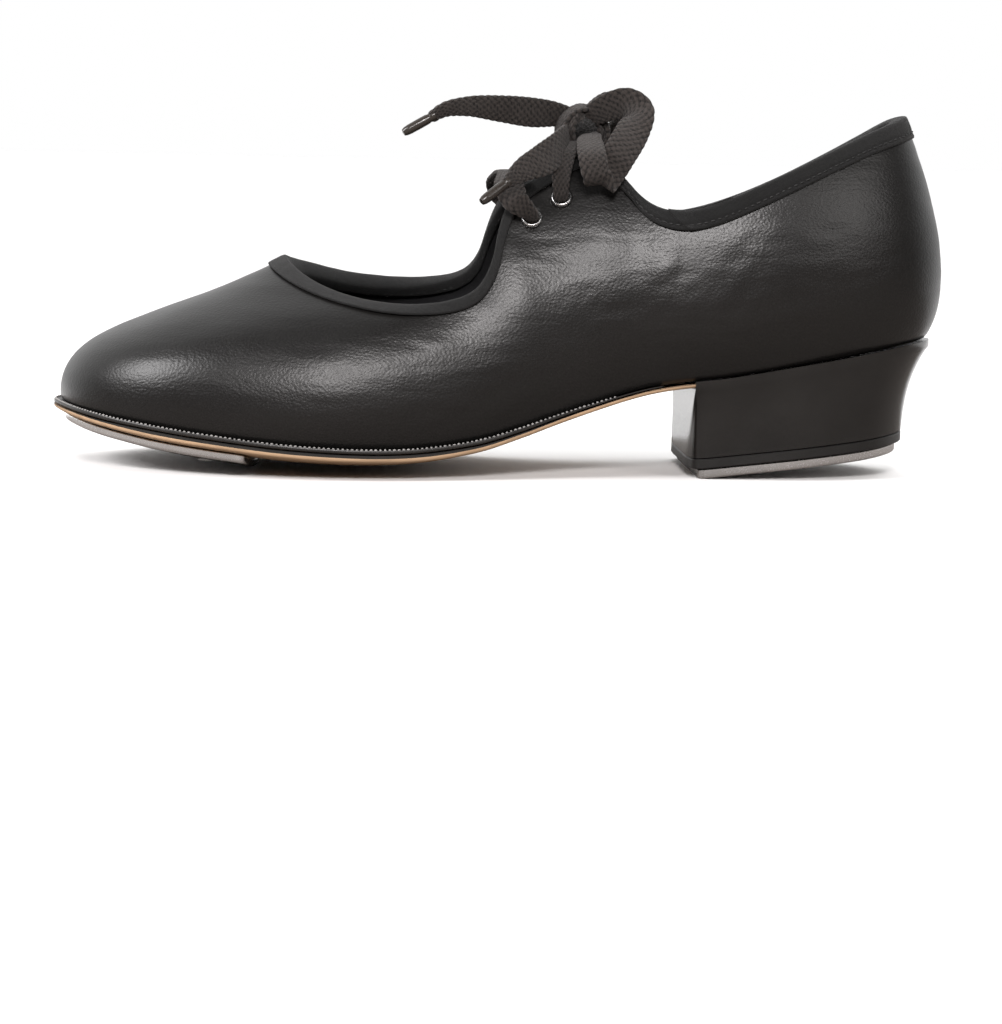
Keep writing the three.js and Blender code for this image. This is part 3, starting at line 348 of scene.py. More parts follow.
class Outline:
    """The plan of a plate, split into its lateral and medial edges."""

    def __init__(self, points, inset=0.0, start=-math.inf, stop=math.inf):
        rim = catmull_rom(points, OUTLINE_POINTS, True)
        along = unit(np.roll(rim, -1, 0) - np.roll(rim, 1, 0))
        rim = rim + np.stack([-along[:, 1], along[:, 0]], axis=1) * inset
        rim = np.roll(rim, -int(rim[:, 0].argmin()), 0)
        back = int(rim[:, 0].argmax())
        self.edges = []
        for edge in (rim[: back + 1], np.vstack([rim[:1], rim[:back - 1:-1]])):
            self.edges.append(edge[np.argsort(edge[:, 0], kind="stable")])
        self.front = max(start, rim[0, 0])
        self.back = min(stop, rim[back, 0])

    def span(self, x):
        return [np.interp(x, edge[:, 0], edge[:, 1]) for edge in self.edges]

    def at(self, u, w):
        x = mix(self.front, self.back, (1 - np.cos(np.pi * u)) / 2)
        lateral, medial = self.span(x)
        return x, mix(lateral, medial, w)


SOLE_EDGE = Outline(SOLE_PLAN)
FEATHER_HEIGHTS = np.array([row[0][:2] for row in (TOE, *SIDE, BACK)], float)


def feather_height(x):
    """The height of the feather line along the foot, a smooth curve through the stations."""
    places, heights = FEATHER_HEIGHTS.T
    ends = np.concatenate([[0], np.arange(len(places)), [len(places) - 1]])
    slopes = (heights[ends[2:]] - heights[ends[:-2]]) / (places[ends[2:]] - places[ends[:-2]])
    i = np.clip(np.searchsorted(places, x, side="right") - 1, 0, len(places) - 2)
    step = places[i + 1] - places[i]
    t = np.clip((x - places[i]) / step, 0, 1)
    rise = (1 - t) ** 2 * step * slopes[i] - t * (1 - t) * step * slopes[i + 1]
    return (1 + 2 * t) * (1 - t) ** 2 * heights[i] + t * rise + ease(t) * heights[i + 1]


def bed(x, y):
    """The face that the lasted upper is cemented down to, crowned across the foot."""
    lateral, medial = SOLE_EDGE.span(np.clip(x, SOLE_EDGE.front, SOLE_EDGE.back))
    inside = np.maximum(0, (y - lateral) * (medial - y))
    return feather_height(x) - SOLE_CROWN * inside / (BALL_WIDTH / 2) ** 2


def rand_thickness(x):
    return mix(RAND_THICKNESS, GAP, ease(ramp(WAIST_FRONT, RAND_END, x)))


def outsole_top(x, y):
    return bed(x, y) - GAP - rand_thickness(x) - RAND_GAP


def outsole_bottom(x, y):
    thickness = mix(SOLE_THICKNESS, SEAT_THICKNESS, ease(ramp(WAIST_FRONT - 20, HEEL_BREAST, x)))
    return bed(x, y) - thickness + 0.9 * (1 - ramp(SOLE_EDGE.front, -95, x))


def tap_face(x):
    return (x - HEEL_BREAST - HEEL_TAP_INSET - TAP_BEVEL) * HEEL_SLOPE


def lift_bottom(x):
    return tap_face(x) + HEEL_TAP_THICKNESS + GAP


def heel_bottom(x):
    return lift_bottom(x) + TOP_LIFT_THICKNESS + GAP


def over(height, rise):
    """A surface a rise above another."""
    return lambda x, y: height(x, y) + rise


# ---------------------------------------------------------------- meshes
def grid_faces(points, close_u=False, close_v=False):
    """The quads of a grid of points, and each corner's place in the grid."""
    nu, nv = points.shape[:2]
    u, v = np.meshgrid(np.arange(nu - (not close_u)), np.arange(nv - (not close_v)), indexing="ij")
    corners = [(u, v), (u + 1, v), (u + 1, v + 1), (u, v + 1)]
    quads = np.stack([(a % nu) * nv + b % nv for a, b in corners], -1).reshape(-1, 4)
    return quads, np.stack([np.stack(c, -1) for c in corners], -2).reshape(-1, 4, 2)


def lengths(points, axis, close):
    """Distance along one direction of a grid, in mm, averaged over the other."""
    if close:
        points = np.concatenate([points, np.take(points, [0], axis)], axis)
    step = np.linalg.norm(np.diff(points, axis=axis), axis=-1).mean(1 - axis)
    return np.concatenate([[0], np.cumsum(step)])


def mesh_from(name, points, faces, corner_uv=None):
    """A mesh from points in mm. corner_uv has a row for each corner of each face, in mm."""
    mesh = bpy.data.meshes.new(name)
    mesh.from_pydata((np.asarray(points, float).reshape(-1, 3) * MM).tolist(), [], [list(f) for f in faces])
    if corner_uv is not None:
        mesh.uv_layers.new(name="surface").data.foreach_set("uv", np.asarray(corner_uv, np.float32).ravel())
    mesh.validate(clean_customdata=False)
    mesh.update()
    return mesh


def surface(name, points, close_u=False, close_v=False, caps=False, keep=None):
    """A mesh over a grid of points. keep says which of its quads to keep."""
    quads, places = grid_faces(points, close_u, close_v)
    along, across = lengths(points, 0, close_u), lengths(points, 1, close_v)
    uv = np.stack([along[places[..., 0]], across[places[..., 1]]], -1)
    if keep is not None:
        quads, uv = quads[keep], uv[keep]
    faces, uv = quads.tolist(), uv.reshape(-1, 2)
    if caps:
        nu, nv = points.shape[:2]
        faces += [list(range(nv)), [nu * nv - 1 - k for k in range(nv)]]
        uv = np.vstack([uv, np.zeros((2 * nv, 2))])
    return mesh_from(name, points, faces, uv)


def tidied(mesh, sharp=None, merge=0.0):
    """Doubles merged, faces turned outwards, smooth shading but for edges over sharp degrees."""
    work = bmesh.new()
    work.from_mesh(mesh)
    if merge:
        bmesh.ops.remove_doubles(work, verts=work.verts, dist=merge * MM)
    bmesh.ops.recalc_face_normals(work, faces=work.faces)
    for face in work.faces:
        face.smooth = True
    if sharp is not None:
        for edge in work.edges:
            edge.smooth = not (edge.is_manifold and edge.calc_face_angle() > math.radians(sharp))
    work.to_mesh(mesh)
    work.free()
    return mesh


def smooth(mesh):
    mesh.polygons.foreach_set("use_smooth", np.ones(len(mesh.polygons), bool))
    return mesh


def plate(name, levels, along, across, bare=1):
    """A plate between levels, top level first, each an outline and a height over x and y. Face
    material 0 is the walls, 2 the top, and 1 the bottom face with the bare strips above it."""
    u = np.linspace(0, 1, along + 1)[:, None]
    w = (1 - np.cos(np.pi * np.linspace(0, 1, across + 1)[None, :])) / 2
    layers = []
    for outline, height in levels:
        x, y = np.broadcast_arrays(*outline.at(u, w))
        layers.append(np.stack([x, y, height(x, y) + 0 * x], -1))
    points = np.stack(layers)
    size = (along + 1) * (across + 1)
    index = np.arange(len(levels) * size).reshape(len(levels), along + 1, across + 1)
    faces, kinds = [], []

    def add(block, kind):
        a, b, c, d = block[:-1, :-1], block[1:, :-1], block[1:, 1:], block[:-1, 1:]
        faces.extend(np.stack([a, b, c, d], -1).reshape(-1, 4).tolist())
        kinds.extend([kind] * a.size)

    add(index[0], 2)
    add(index[-1][:, ::-1], 1)
    for k in range(len(levels) - 1):
        kind = 1 if k >= len(levels) - 1 - bare else 0
        pair = index[k:k + 2]
        add(pair[:, :, 0], kind)
        add(pair[::-1, :, -1], kind)
        add(pair[::-1, 0, :], kind)
        add(pair[:, -1, :], kind)
    mesh = mesh_from(name, points, faces)
    mesh.polygons.foreach_set("material_index", np.array(kinds, np.int32))
    return mesh


def lathe(name, profile, sides, closed=False):
    """A turned mesh about Z. A closed profile makes a ring; an open one starts and ends on the axis."""
    radius, height = np.array(profile, float).T
    angle = np.arange(sides) * 2 * math.pi / sides
    x, y = np.outer(np.cos(angle), radius), np.outer(np.sin(angle), radius)
    points = np.stack([x, y, np.tile(height, (sides, 1))], -1)
    return tidied(surface(name, points, close_u=True, close_v=closed), sharp=40, merge=1e-4)


def turn_to(direction, across=(1, 0, 0)):
    """The rotation that takes Z to a direction and X as near as it can to another."""
    z = Vector(direction).normalized()
    y = z.cross(Vector(across)).normalized()
    return Matrix((y.cross(z), y, z)).transposed().to_4x4()


def joined(name, meshes):
    """Several meshes as one, with their UVs and face materials."""
    work = bmesh.new()
    for mesh in meshes:
        work.from_mesh(mesh)
    whole = bpy.data.meshes.new(name)
    work.to_mesh(whole)
    work.free()
    for mesh in meshes:
        bpy.data.meshes.remove(mesh)
    return whole


def add_piece(name, mesh, materials, nodes=()):
    """Puts a finished mesh in the scene, riding with the shoe and standing for its solids."""
    mesh.name = name
    piece = bpy.data.objects.new(name, mesh)
    bpy.context.scene.collection.objects.link(piece)
    if not mesh.materials:
        for material in materials:
            mesh.materials.append(material)
    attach(piece, "root")
    if nodes:
        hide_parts(*nodes)
    return piece


def thicken(piece, thickness, offset=-1.0):
    """Gives a sheet its thickness: inwards at -1, both ways at 0."""
    wall = piece.modifiers.new("thickness", "SOLIDIFY")
    wall.thickness = thickness * MM
    wall.offset = offset
    wall.use_even_offset = False


def soften_edges(piece, width):
    """Rounds the edges that turn more than 50 degrees."""
    bevel = piece.modifiers.new("edges", "BEVEL")
    bevel.width = width * MM
    bevel.segments = 3
    bevel.limit_method = "ANGLE"
    bevel.angle_limit = math.radians(50)
    bevel.harden_normals = False


# ---------------------------------------------------------------- materials
class Finish:
    """A node material round one Principled shader."""

    def __init__(self, name, roughness, metallic=0.0, **sockets):
        self.material = bpy.data.materials.new(name)
        self.material.use_nodes = True
        self.tree = self.material.node_tree
        self.shader = self.tree.nodes["Principled BSDF"]
        for socket, value in {"Roughness": roughness, "Metallic": metallic, **sockets}.items():
            self.shader.inputs[socket].default_value = value

    def node(self, kind, values=None, **settings):
        made = self.tree.nodes.new("ShaderNode" + kind)
        for key, value in settings.items():
            setattr(made, key, value)
        for key, value in (values or {}).items():
            if isinstance(value, bpy.types.NodeSocket):
                self.tree.links.new(value, made.inputs[key])
            else:
                made.inputs[key].default_value = value
        return made

    def object_mm(self, stretch=(1, 1, 1), turn=(0, 0, 0)):
        """Object coordinates in mm, squeezed by stretch along each axis."""
        places = self.node("TexCoord").outputs["Object"]
        scale = [1000 * k for k in stretch]
        turned = self.node("Mapping", {"Vector": places, "Rotation": turn, "Scale": scale})
        return turned.outputs["Vector"]

    def surface_mm(self, stretch=(1, 1, 1), turn=0.0):
        """The mesh's own UV map, which is in mm."""
        places = self.node("UVMap", uv_map="surface").outputs["UV"]
        turned = self.node("Mapping", {"Vector": places, "Rotation": (0, 0, turn), "Scale": stretch})
        return turned.outputs["Vector"]

    def noise(self, places, scale, detail=3.0, roughness=0.55):
        values = {"Vector": places, "Scale": scale, "Detail": detail, "Roughness": roughness}
        return self.node("TexNoise", values).outputs["Fac"]

    def cells(self, places, scale, feature="F1"):
        values = {"Vector": places, "Scale": scale}
        return self.node("TexVoronoi", values, feature=feature).outputs["Distance"]

    def bands(self, places, scale, direction="X", distortion=0.0):
        values = {"Vector": places, "Scale": scale, "Distortion": distortion}
        return self.node("TexWave", values, bands_direction=direction).outputs["Fac"]

    def math(self, operation, a, b=0.0):
        return self.node("Math", {0: a, 1: b}, operation=operation).outputs["Value"]

    def ramp(self, factor, *stops):
        """A colour for the factor: stops are (place, colour or grey)."""
        made = self.node("ValToRGB", {"Fac": factor})
        elements = made.color_ramp.elements
        while len(elements) < len(stops):
            elements.new(0.5)
        for element, (place, colour) in zip(elements, stops, strict=True):
            element.position = place
            element.color = (*colour, 1) if isinstance(colour, tuple) else (colour, colour, colour, 1)
        return made.outputs["Color"]

    def set(self, socket, value):
        self.tree.links.new(value, self.shader.inputs[socket])
        return self

    def bump(self, *layers):
        """Raises the surface by layers of (height, distance in mm)."""
        normal = None
        for height, distance in layers:
            values = {"Height": height, "Strength": 1.0, "Distance": distance * MM}
            if normal is not None:
                values["Normal"] = normal
            normal = self.node("Bump", values).outputs["Normal"]
        return self.set("Normal", normal)


def shade(colour, factor):
    return tuple(c * factor for c in colour[:3])


def leather_finish(colours, sizes):
    f = Finish("coated_leather", 0.36, **{"Specular IOR Level": 0.45})
    places = f.object_mm()
    pebbles = f.cells(f.object_mm((1, 1, 1.25)), MM / sizes.grain, "SMOOTH_F1")
    folds = f.noise(f.object_mm((0.16, 0.16, 0.9)), 0.55, 4, 0.6)
    fine = f.noise(places, 2.2, 3)
    broad = f.noise(places, 0.035, 2)
    base = tuple(colours.leather)
    f.set("Base Color", f.ramp(fine, (0.3, shade(base, 0.75)), (0.7, shade(base, 1.3))))
    wear = f.math("ADD", f.math("MULTIPLY", broad, 0.6), f.math("MULTIPLY", fine, 0.4))
    f.set("Roughness", f.ramp(wear, (0.3, 0.31), (0.7, 0.42)))
    return f.bump((folds, 0.05), (pebbles, 0.055), (fine, 0.02)).material


def cloth_finish(name, colour, rib):
    """A woven tape or lining: ribs across its length and threads between them, on the UV map. Its colour is
    partly a painted shade, darker in the weave's hollows and lighter on its raised threads, and partly random
    lint.
    """
    f = Finish(name, 0.9, **{"Specular IOR Level": 0.3, "Sheen Weight": 0.1, "Sheen Roughness": 0.5})
    places = f.surface_mm()
    ribs = f.bands(places, 0.5 / rib, "X", 0.6)
    threads = f.bands(places, 0.7 / rib, "Y", 0.8)
    weave = f.math("MULTIPLY", ribs, threads)
    lint = f.noise(f.object_mm(), 1.1, 4)
    # painted shade in the weave's hollows and painted light on its raised threads, with random lint
    painted_shade_and_lint = f.math("ADD", f.math("MULTIPLY", weave, 0.5), f.math("MULTIPLY", lint, 0.6))
    f.set("Base Color", f.ramp(painted_shade_and_lint, (0.15, shade(colour, 0.55)), (0.85, shade(colour, 1.5))))
    return f.bump((weave, 0.12), (lint, 0.1)).material


def braid_finish(colours):
    """Cotton yarn, for the lace, whose plait is in its mesh. Its colour is a painted shade and highlight:
    darker in the hollows between strands and lighter on their raised crossings, with random lint.
    """
    f = Finish("braided_cotton", 0.85,
               **{"Specular IOR Level": 0.3, "Sheen Weight": 0.12, "Sheen Roughness": 0.45})
    yarn = f.bands(f.surface_mm(turn=0.9), 1.6, "X", 1.5)
    other = f.bands(f.surface_mm(turn=-0.9), 1.6, "X", 1.5)
    lint = f.noise(f.object_mm(), 1.6, 4)
    plait_shade = f.node("Attribute", attribute_name="plait_shade").outputs["Fac"]
    # painted shade in the hollows between strands and painted highlight on their crossings, with random lint
    painted_shade_and_lint = f.math("ADD", f.math("MULTIPLY", plait_shade, 0.55), f.math("MULTIPLY", lint, 0.45))
    colour = tuple(colours.lace)
    stops = ((0.34, shade(colour, 0.15)), (0.52, colour), (0.74, shade(colour, 3)))
    f.set("Base Color", f.ramp(painted_shade_and_lint, *stops))
    return f.bump((f.math("ADD", yarn, other), 0.06), (lint, 0.08)).material


def moulded_finish(name, colour, roughness, ripple=0.02, grain=1.5):
    """Smooth plastic or painted edge with faint unevenness and rubbing."""
    f = Finish(name, roughness, **{"Specular IOR Level": 0.5})
    places = f.object_mm()
    fine = f.noise(places, grain, 4)
    broad = f.noise(places, 0.08, 3)
    f.set("Base Color", f.ramp(broad, (0.3, shade(colour, 0.8)), (0.7, shade(colour, 1.25))))
    f.set("Roughness", f.ramp(fine, (0.3, roughness * 0.8), (0.75, min(1.0, roughness * 1.35))))
    return f.bump((broad, ripple * 4), (fine, ripple)).material


def metal_finish(name, colour, roughness):
    """Polished metal with fine scratches and a duller, slightly dented surface where it strikes."""
    f = Finish(name, roughness, metallic=1.0)
    long_marks = f.noise(f.object_mm((0.25, 3, 3), (0, 0, 0.5)), 1.3, 4, 0.7)
    cross_marks = f.noise(f.object_mm((3, 0.3, 3), (0, 0, 0.25)), 1.1, 4, 0.7)
    marks = f.math("MULTIPLY", long_marks, cross_marks)
    cloud = f.noise(f.object_mm(), 0.12, 3)
    f.set("Base Color", f.ramp(cloud, (0.3, shade(colour, 0.88)), (0.7, colour)))
    f.set("Roughness", f.ramp(marks, (0.12, roughness * 0.8), (0.4, roughness * 1.5)))
    return f.bump((cloud, 0.05), (marks, 0.02)).material


def hide_finish(colours):
    """The outsole's tan underside: smooth split leather with pores, streaks and scuffs."""
    f = Finish("sole_leather", 0.6, **{"Specular IOR Level": 0.4})
    streaks = f.noise(f.object_mm((0.12, 0.9, 0.9)), 0.5, 4, 0.6)
    pores = f.noise(f.object_mm(), 2.4, 3)
    colour = tuple(colours.sole)
    stops = ((0.25, shade(colour, 0.72)), (0.6, colour), (0.85, shade(colour, 1.12)))
    f.set("Base Color", f.ramp(streaks, *stops))
    f.set("Roughness", f.ramp(pores, (0.3, 0.5), (0.7, 0.72)))
    return f.bump((streaks, 0.06), (pores, 0.05)).material


def board_finish(name, colour):
    """Fibre board or felt, for what is hidden in the wall and the bottom."""
    f = Finish(name, 0.9, **{"Specular IOR Level": 0.2})
    fibres = f.noise(f.object_mm((0.4, 1.5, 1.5)), 1.4, 5, 0.7)
    f.set("Base Color", f.ramp(fibres, (0.3, shade(colour, 0.7)), (0.7, shade(colour, 1.25))))
    return f.bump((fibres, 0.1)).material


def thread_finish(colour):
    """Waxed sewing thread with a faint twist."""
    f = Finish("sewing_thread", 0.6, **{"Specular IOR Level": 0.4})
    twist = f.noise(f.object_mm((4, 4, 1.5)), 1.5, 2)
    f.set("Base Color", f.ramp(twist, (0.3, shade(colour, 0.6)), (0.7, shade(colour, 1.4))))
    return f.bump((twist, 0.04)).material


# ---------------------------------------------------------------- geometry nodes for what repeats
class Tree:
    """A geometry node tree with named inputs, which ends in Realize Instances and Set Material."""

    def __init__(self, name, inputs):
        self.tree = bpy.data.node_groups.new(name, "GeometryNodeTree")
        sides = self.tree.interface
        sides.new_socket(name="Geometry", in_out="INPUT", socket_type="NodeSocketGeometry")
        self.keys = {}
        for label, kind in {**inputs, "Material": "Material"}.items():
            socket = sides.new_socket(name=label, in_out="INPUT", socket_type="NodeSocket" + kind)
            self.keys[label] = socket.identifier
        sides.new_socket(name="Geometry", in_out="OUTPUT", socket_type="NodeSocketGeometry")
        self.given = self.tree.nodes.new("NodeGroupInput").outputs

    def node(self, kind, values=None, **settings):
        made = self.tree.nodes.new(kind)
        for key, value in settings.items():
            setattr(made, key, value)
        for key, value in (values or {}).items():
            if isinstance(value, bpy.types.NodeSocket):
                self.tree.links.new(value, made.inputs[key])
            else:
                made.inputs[key].default_value = value
        return made.outputs

    def attribute(self, name):
        values = {"Name": name}
        return self.node("GeometryNodeInputNamedAttribute", values, data_type="FLOAT_VECTOR")["Attribute"]

    def facing(self, along, outward):
        """The rotation that takes X along one direction and Z as near as it can to another."""
        align = "FunctionNodeAlignRotationToVector"
        first = self.node(align, {"Vector": along}, axis="X")["Rotation"]
        values = {"Rotation": first, "Vector": outward}
        return self.node(align, values, axis="Z", pivot_axis="X")["Rotation"]

    def finish(self, instances):
        real = self.node("GeometryNodeRealizeInstances", {"Geometry": instances})["Geometry"]
        values = {"Geometry": real, "Material": self.given["Material"]}
        painted = self.node("GeometryNodeSetMaterial", values)
        end = self.tree.nodes.new("NodeGroupOutput")
        self.tree.links.new(painted["Geometry"], end.inputs["Geometry"])
        return self

    def run(self, name, mesh, values):
        """The tree's result on a mesh, as a plain mesh."""
        carrier = bpy.data.objects.new(name, mesh)
        bpy.context.scene.collection.objects.link(carrier)
        modifier = carrier.modifiers.new(name, "NODES")
        modifier.node_group = self.tree
        for label, value in values.items():
            modifier[self.keys[label]] = value
        bpy.context.view_layer.update()
        graph = bpy.context.evaluated_depsgraph_get()
        made = bpy.data.meshes.new_from_object(carrier.evaluated_get(graph), depsgraph=graph)
        carrier.modifiers.clear()
        bpy.data.objects.remove(carrier)
        bpy.data.meshes.remove(mesh)
        return smooth(made)


def row_tree():
    """Rods in a row along a line: stitches, or the marks of a wheeling iron."""
    t = Tree("row_along_line", {"Pitch": "Float", "Length": "Float", "Width": "Float", "Height": "Float"})
    line = t.node("GeometryNodeMeshToCurve", {"Mesh": t.given["Geometry"]})["Curve"]
    spread = {"Curve": line, "Length": t.given["Pitch"]}
    points = t.node("GeometryNodeResampleCurve", spread, mode="LENGTH")["Curve"]
    sides = {"X": t.given["Length"], "Y": t.given["Width"], "Z": t.given["Height"]}
    size = t.node("ShaderNodeCombineXYZ", sides)
    ball = t.node("GeometryNodeMeshUVSphere", {"Segments": 8, "Rings": 5, "Radius": 0.5})["Mesh"]
    rod = t.node("GeometryNodeTransform", {"Geometry": ball, "Scale": size["Vector"]})["Geometry"]
    turn = t.facing(t.attribute("along"), t.attribute("outward"))
    spans = {"Min": (0.7, 0.75, 0.75), "Max": (1.2, 1.15, 1.15), "Seed": 4}
    uneven = t.node("FunctionNodeRandomValue", spans, data_type="FLOAT_VECTOR")["Value"]
    placed = {"Points": points, "Instance": rod, "Rotation": turn, "Scale": uneven}
    return t.finish(t.node("GeometryNodeInstanceOnPoints", placed)["Instances"])


def seat_tree():
    """One shape set at each seat, with its own Z out of the seat."""
    t = Tree("shape_on_seats", {"Shape": "Object"})
    shape = t.node("GeometryNodeObjectInfo", {"Object": t.given["Shape"]})["Geometry"]
    turn = t.facing(t.attribute("along"), t.attribute("outward"))
    placed = {"Points": t.given["Geometry"], "Instance": shape, "Rotation": turn}
    return t.finish(t.node("GeometryNodeInstanceOnPoints", placed)["Instances"])


def marked_points(name, points, along, outward, is_line):
    """Points with directions, joined into a line if they are one."""
    mesh = bpy.data.meshes.new(name)
    edges = [(k, k + 1) for k in range(len(points) - 1)] if is_line else []
    mesh.from_pydata((np.asarray(points, float) * MM).tolist(), edges, [])
    for label, vectors in (("along", along), ("outward", outward)):
        layer = mesh.attributes.new(label, "FLOAT_VECTOR", "POINT")
        layer.data.foreach_set("vector", np.asarray(vectors, np.float32).ravel())
    return mesh


def row_along(name, points, outward, pitch, size, material):
    """Rods of a size (length, width, height) along a line of points."""
    mesh = marked_points(name, points, unit(np.gradient(points, axis=0)), outward, True)
    sides = zip(("Pitch", "Length", "Width", "Height"), (pitch, *size), strict=True)
    return row_tree().run(name, mesh, {**{side: value * MM for side, value in sides}, "Material": material})


def set_on_seats(name, shape, seats, material):
    """A copy of a shape at each seat, a point and the direction out of it."""
    points, outward = (np.array(column, float) for column in zip(*seats, strict=True))
    along = unit(np.cross(outward, (0, 1, 0.01)))
    source = bpy.data.objects.new(name + "_shape", shape)
    bpy.context.scene.collection.objects.link(source)
    mesh = marked_points(name, points, along, outward, False)
    made = seat_tree().run(name, mesh, {"Shape": source, "Material": material})
    bpy.data.objects.remove(source)
    bpy.data.meshes.remove(shape)
    return made


# ---------------------------------------------------------------- the lace
BRAID_STEP = 0.3  # between the mesh's points
BRAID_SIDES = 44
PLAIT = 1.35  # from one strand to the next
CROSSING_DEPTH = 5.6  # of the lace inside the tabs, from the upper's face


def ribbon(name, stations, width, thickness, relief):
    """A flat plaited lace along stations (point, direction of its width, share of the width).
    Returns its mesh and its centreline. Where it is drawn narrow it is thicker."""
    rows = np.array([(*point, *unit(side), share) for point, side, share in stations], float)
    line = spaced(catmull_rom(rows, 40 * len(rows)), BRAID_STEP)
    centre, side, share = line[:, :3], line[:, 3:6], line[:, 6]
    along = unit(np.gradient(centre, axis=0))
    side = unit(side - along * (side * along).sum(1, keepdims=True))
    flat = np.cross(along, side)
    half_width, half_thick = width / 2 * share, thickness / 2 / np.sqrt(share)
    angle = np.arange(BRAID_SIDES) * 2 * math.pi / BRAID_SIDES
    across = np.sign(np.cos(angle)) * np.abs(np.cos(angle)) ** 0.7
    out = np.sign(np.sin(angle)) * np.abs(np.sin(angle)) ** 0.55
    run = np.arange(len(centre))[:, None] * BRAID_STEP
    place = across[None, :] * width / 2
    first, second = (run + place) / PLAIT / math.sqrt(2), (run - place) / PLAIT / math.sqrt(2)
    on_top = (np.floor(first) + np.floor(second)) % 2 == 0
    one, other = (np.sqrt(np.clip(1 - (2 * (k % 1) - 1) ** 2, 0, 1)) for k in (first, second))
    crossing = np.where(on_top, one * (0.65 + 0.35 * other), other * (0.65 + 0.35 * one))
    raised = (crossing - 0.6) * relief
    points = (
        centre[:, None]
        + side[:, None] * (across * half_width[:, None] + raised * np.sign(across) * 0.6)[..., None]
        + flat[:, None] * (out * half_thick[:, None] + raised * np.sign(out))[..., None]
    )
    mesh = surface(name, points, close_v=True, caps=True)
    # the plait's height at each point, which the braid's colour turns into painted shade in the hollows and
    # painted highlight on the crossings
    plait_shade = mesh.attributes.new("plait_shade", "FLOAT", "POINT")
    plait_shade.data.foreach_set("value", crossing.astype(np.float32).ravel())
    return tidied(mesh), centre


def mirrored(stations):
    """The same run of lace on the other side of the foot."""
    return tuple(((x, -y, z), (a, -b, c), share) for (x, y, z), (a, b, c), share in stations)


def eyelet_seats():
    """(point, direction out of the upper) of each eyelet: lateral front, rear, medial front, rear."""
    stations = np.array([*EYELET_STATIONS, *(STATIONS - s for s in EYELET_STATIONS)])
    point, _, normal = last_frame(stations, 1 - EYELET_SETBACK / column_length(stations))
    return list(zip(point, normal, strict=True))


def through_eyelet(seat):
    """The lace's first two points, inside the eyelet's bore and just out of it."""
    point, outward = seat
    return [(tuple(point + outward * rise), (1, 0, 0), 0.5) for rise in (-2.5, 1.6)]


def aglet_mesh(name, stations):
    """A rolled film tip with a crimp at each end, over the last point of a tail and beyond it."""
    before, last = (np.array(s[0], float) for s in stations[-2:])
    along = unit(last - before)
    near_end = ((1.02, 0), (1.05, 0.5), (1, 1.1), (0.86, 1.7), (0.98, 2.4), (1, 4.5))
    far_end = ((0.97, 2.2), (0.88, 1), (0.66, 0.2), (0, 0))
    profile = [(0, 0), *((AGLET_RADIUS * k, height) for k, height in near_end)]
    profile += [(AGLET_RADIUS * k, AGLET_LENGTH - height) for k, height in far_end]
    mesh = lathe(name, profile, 24)
    start = last - along * AGLET_LAP
    mesh.transform(Matrix.Translation(Vector(start * MM)) @ turn_to(along))
    return mesh


def knot_mesh(width, thickness, relief):
    """The knot: a plaited core and turns of the lace drawn tight round it."""
    centre, radii = np.array(KNOT_CENTRE, float), np.array(KNOT_RADII, float)
    around, over_poles = np.linspace(0, 2 * math.pi, 72, endpoint=False), np.linspace(0, math.pi, 40)
    u, v = np.meshgrid(around, over_poles, indexing="ij")
    core = np.stack([np.cos(u) * np.sin(v), np.cos(v), np.sin(u) * np.sin(v)], -1)
    bumps = 1 + 0.05 * np.sin(9 * u + 14 * v) * np.sin(9 * u - 14 * v)
    core = centre + core * radii * 0.86 * bumps[..., None]
    # the core has no plait height, so the braid paints it in its darkest colour, as painted shade between the
    # turns
    parts = [tidied(surface("core", core, close_u=True), merge=1e-3)]
    turns = ((0.35, 1.12, -2.6, 0.8), (-0.5, 1.08, 2.4, 0.75), (1.3, 1.02, 0, 0.6), (0.9, 1.16, -1.4, 0.5))
    for tilt, reach, shift, share in turns:
        turn = Matrix.Rotation(tilt, 3, "Z")
        stations = []
        for k in range(13):
            angle = 2 * math.pi * k / 12 + 0.4
            x, z = math.cos(angle) * radii[0] * reach, math.sin(angle) * radii[2] * reach
            spot = turn @ Vector((x, shift, z))
            stations.append((tuple(centre + spot), tuple(turn @ Vector((0.1, 1, 0.15))), share))
        parts.append(ribbon("turn", stations, width, thickness, relief)[0])
    return joined("lace_knot_wraps", parts)


def declare_lace(centre, diameter, lay):
    """Works out the length in metres of a free lace's run, from an eyelet through the knot, round its loop
    and out to its tip, and keeps it nowhere.
    """
    run = float(np.linalg.norm(np.diff(centre, axis=0), axis=1).sum()) * MM


def crossing_stations(start, end, arch):
    """The lace inside the tabs, arched from one eyelet to another."""
    ends = [point - outward * CROSSING_DEPTH for point, outward in (start, end)]
    lean = 0.2 * math.copysign(1, start[0][1])
    stations = []
    for share, rise in ((0, 0), (0.25, 1), (0.5, 1.25), (0.75, 1), (1, 0)):
        spot = mix(ends[0], ends[1], share) + (0, 0, rise * arch)
        stations.append((tuple(spot), (1, lean, 0), 0.55 + 0.4 * min(rise, 1)))
    return stations


# ---------------------------------------------------------------- upper, lining and bindings
COLUMNS = 432  # of the upper's mesh, round the foot
SAME_WALL = 8.0  # points no further than this from an eyelet's plane are on its wall


def from_seat(points, seat):
    """How far points are from an eyelet's axis, as vectors, and which are on its wall."""
    point, outward = seat
    away = points - point
    height = away @ outward
    return away - height[:, None] * outward, np.abs(height) < SAME_WALL


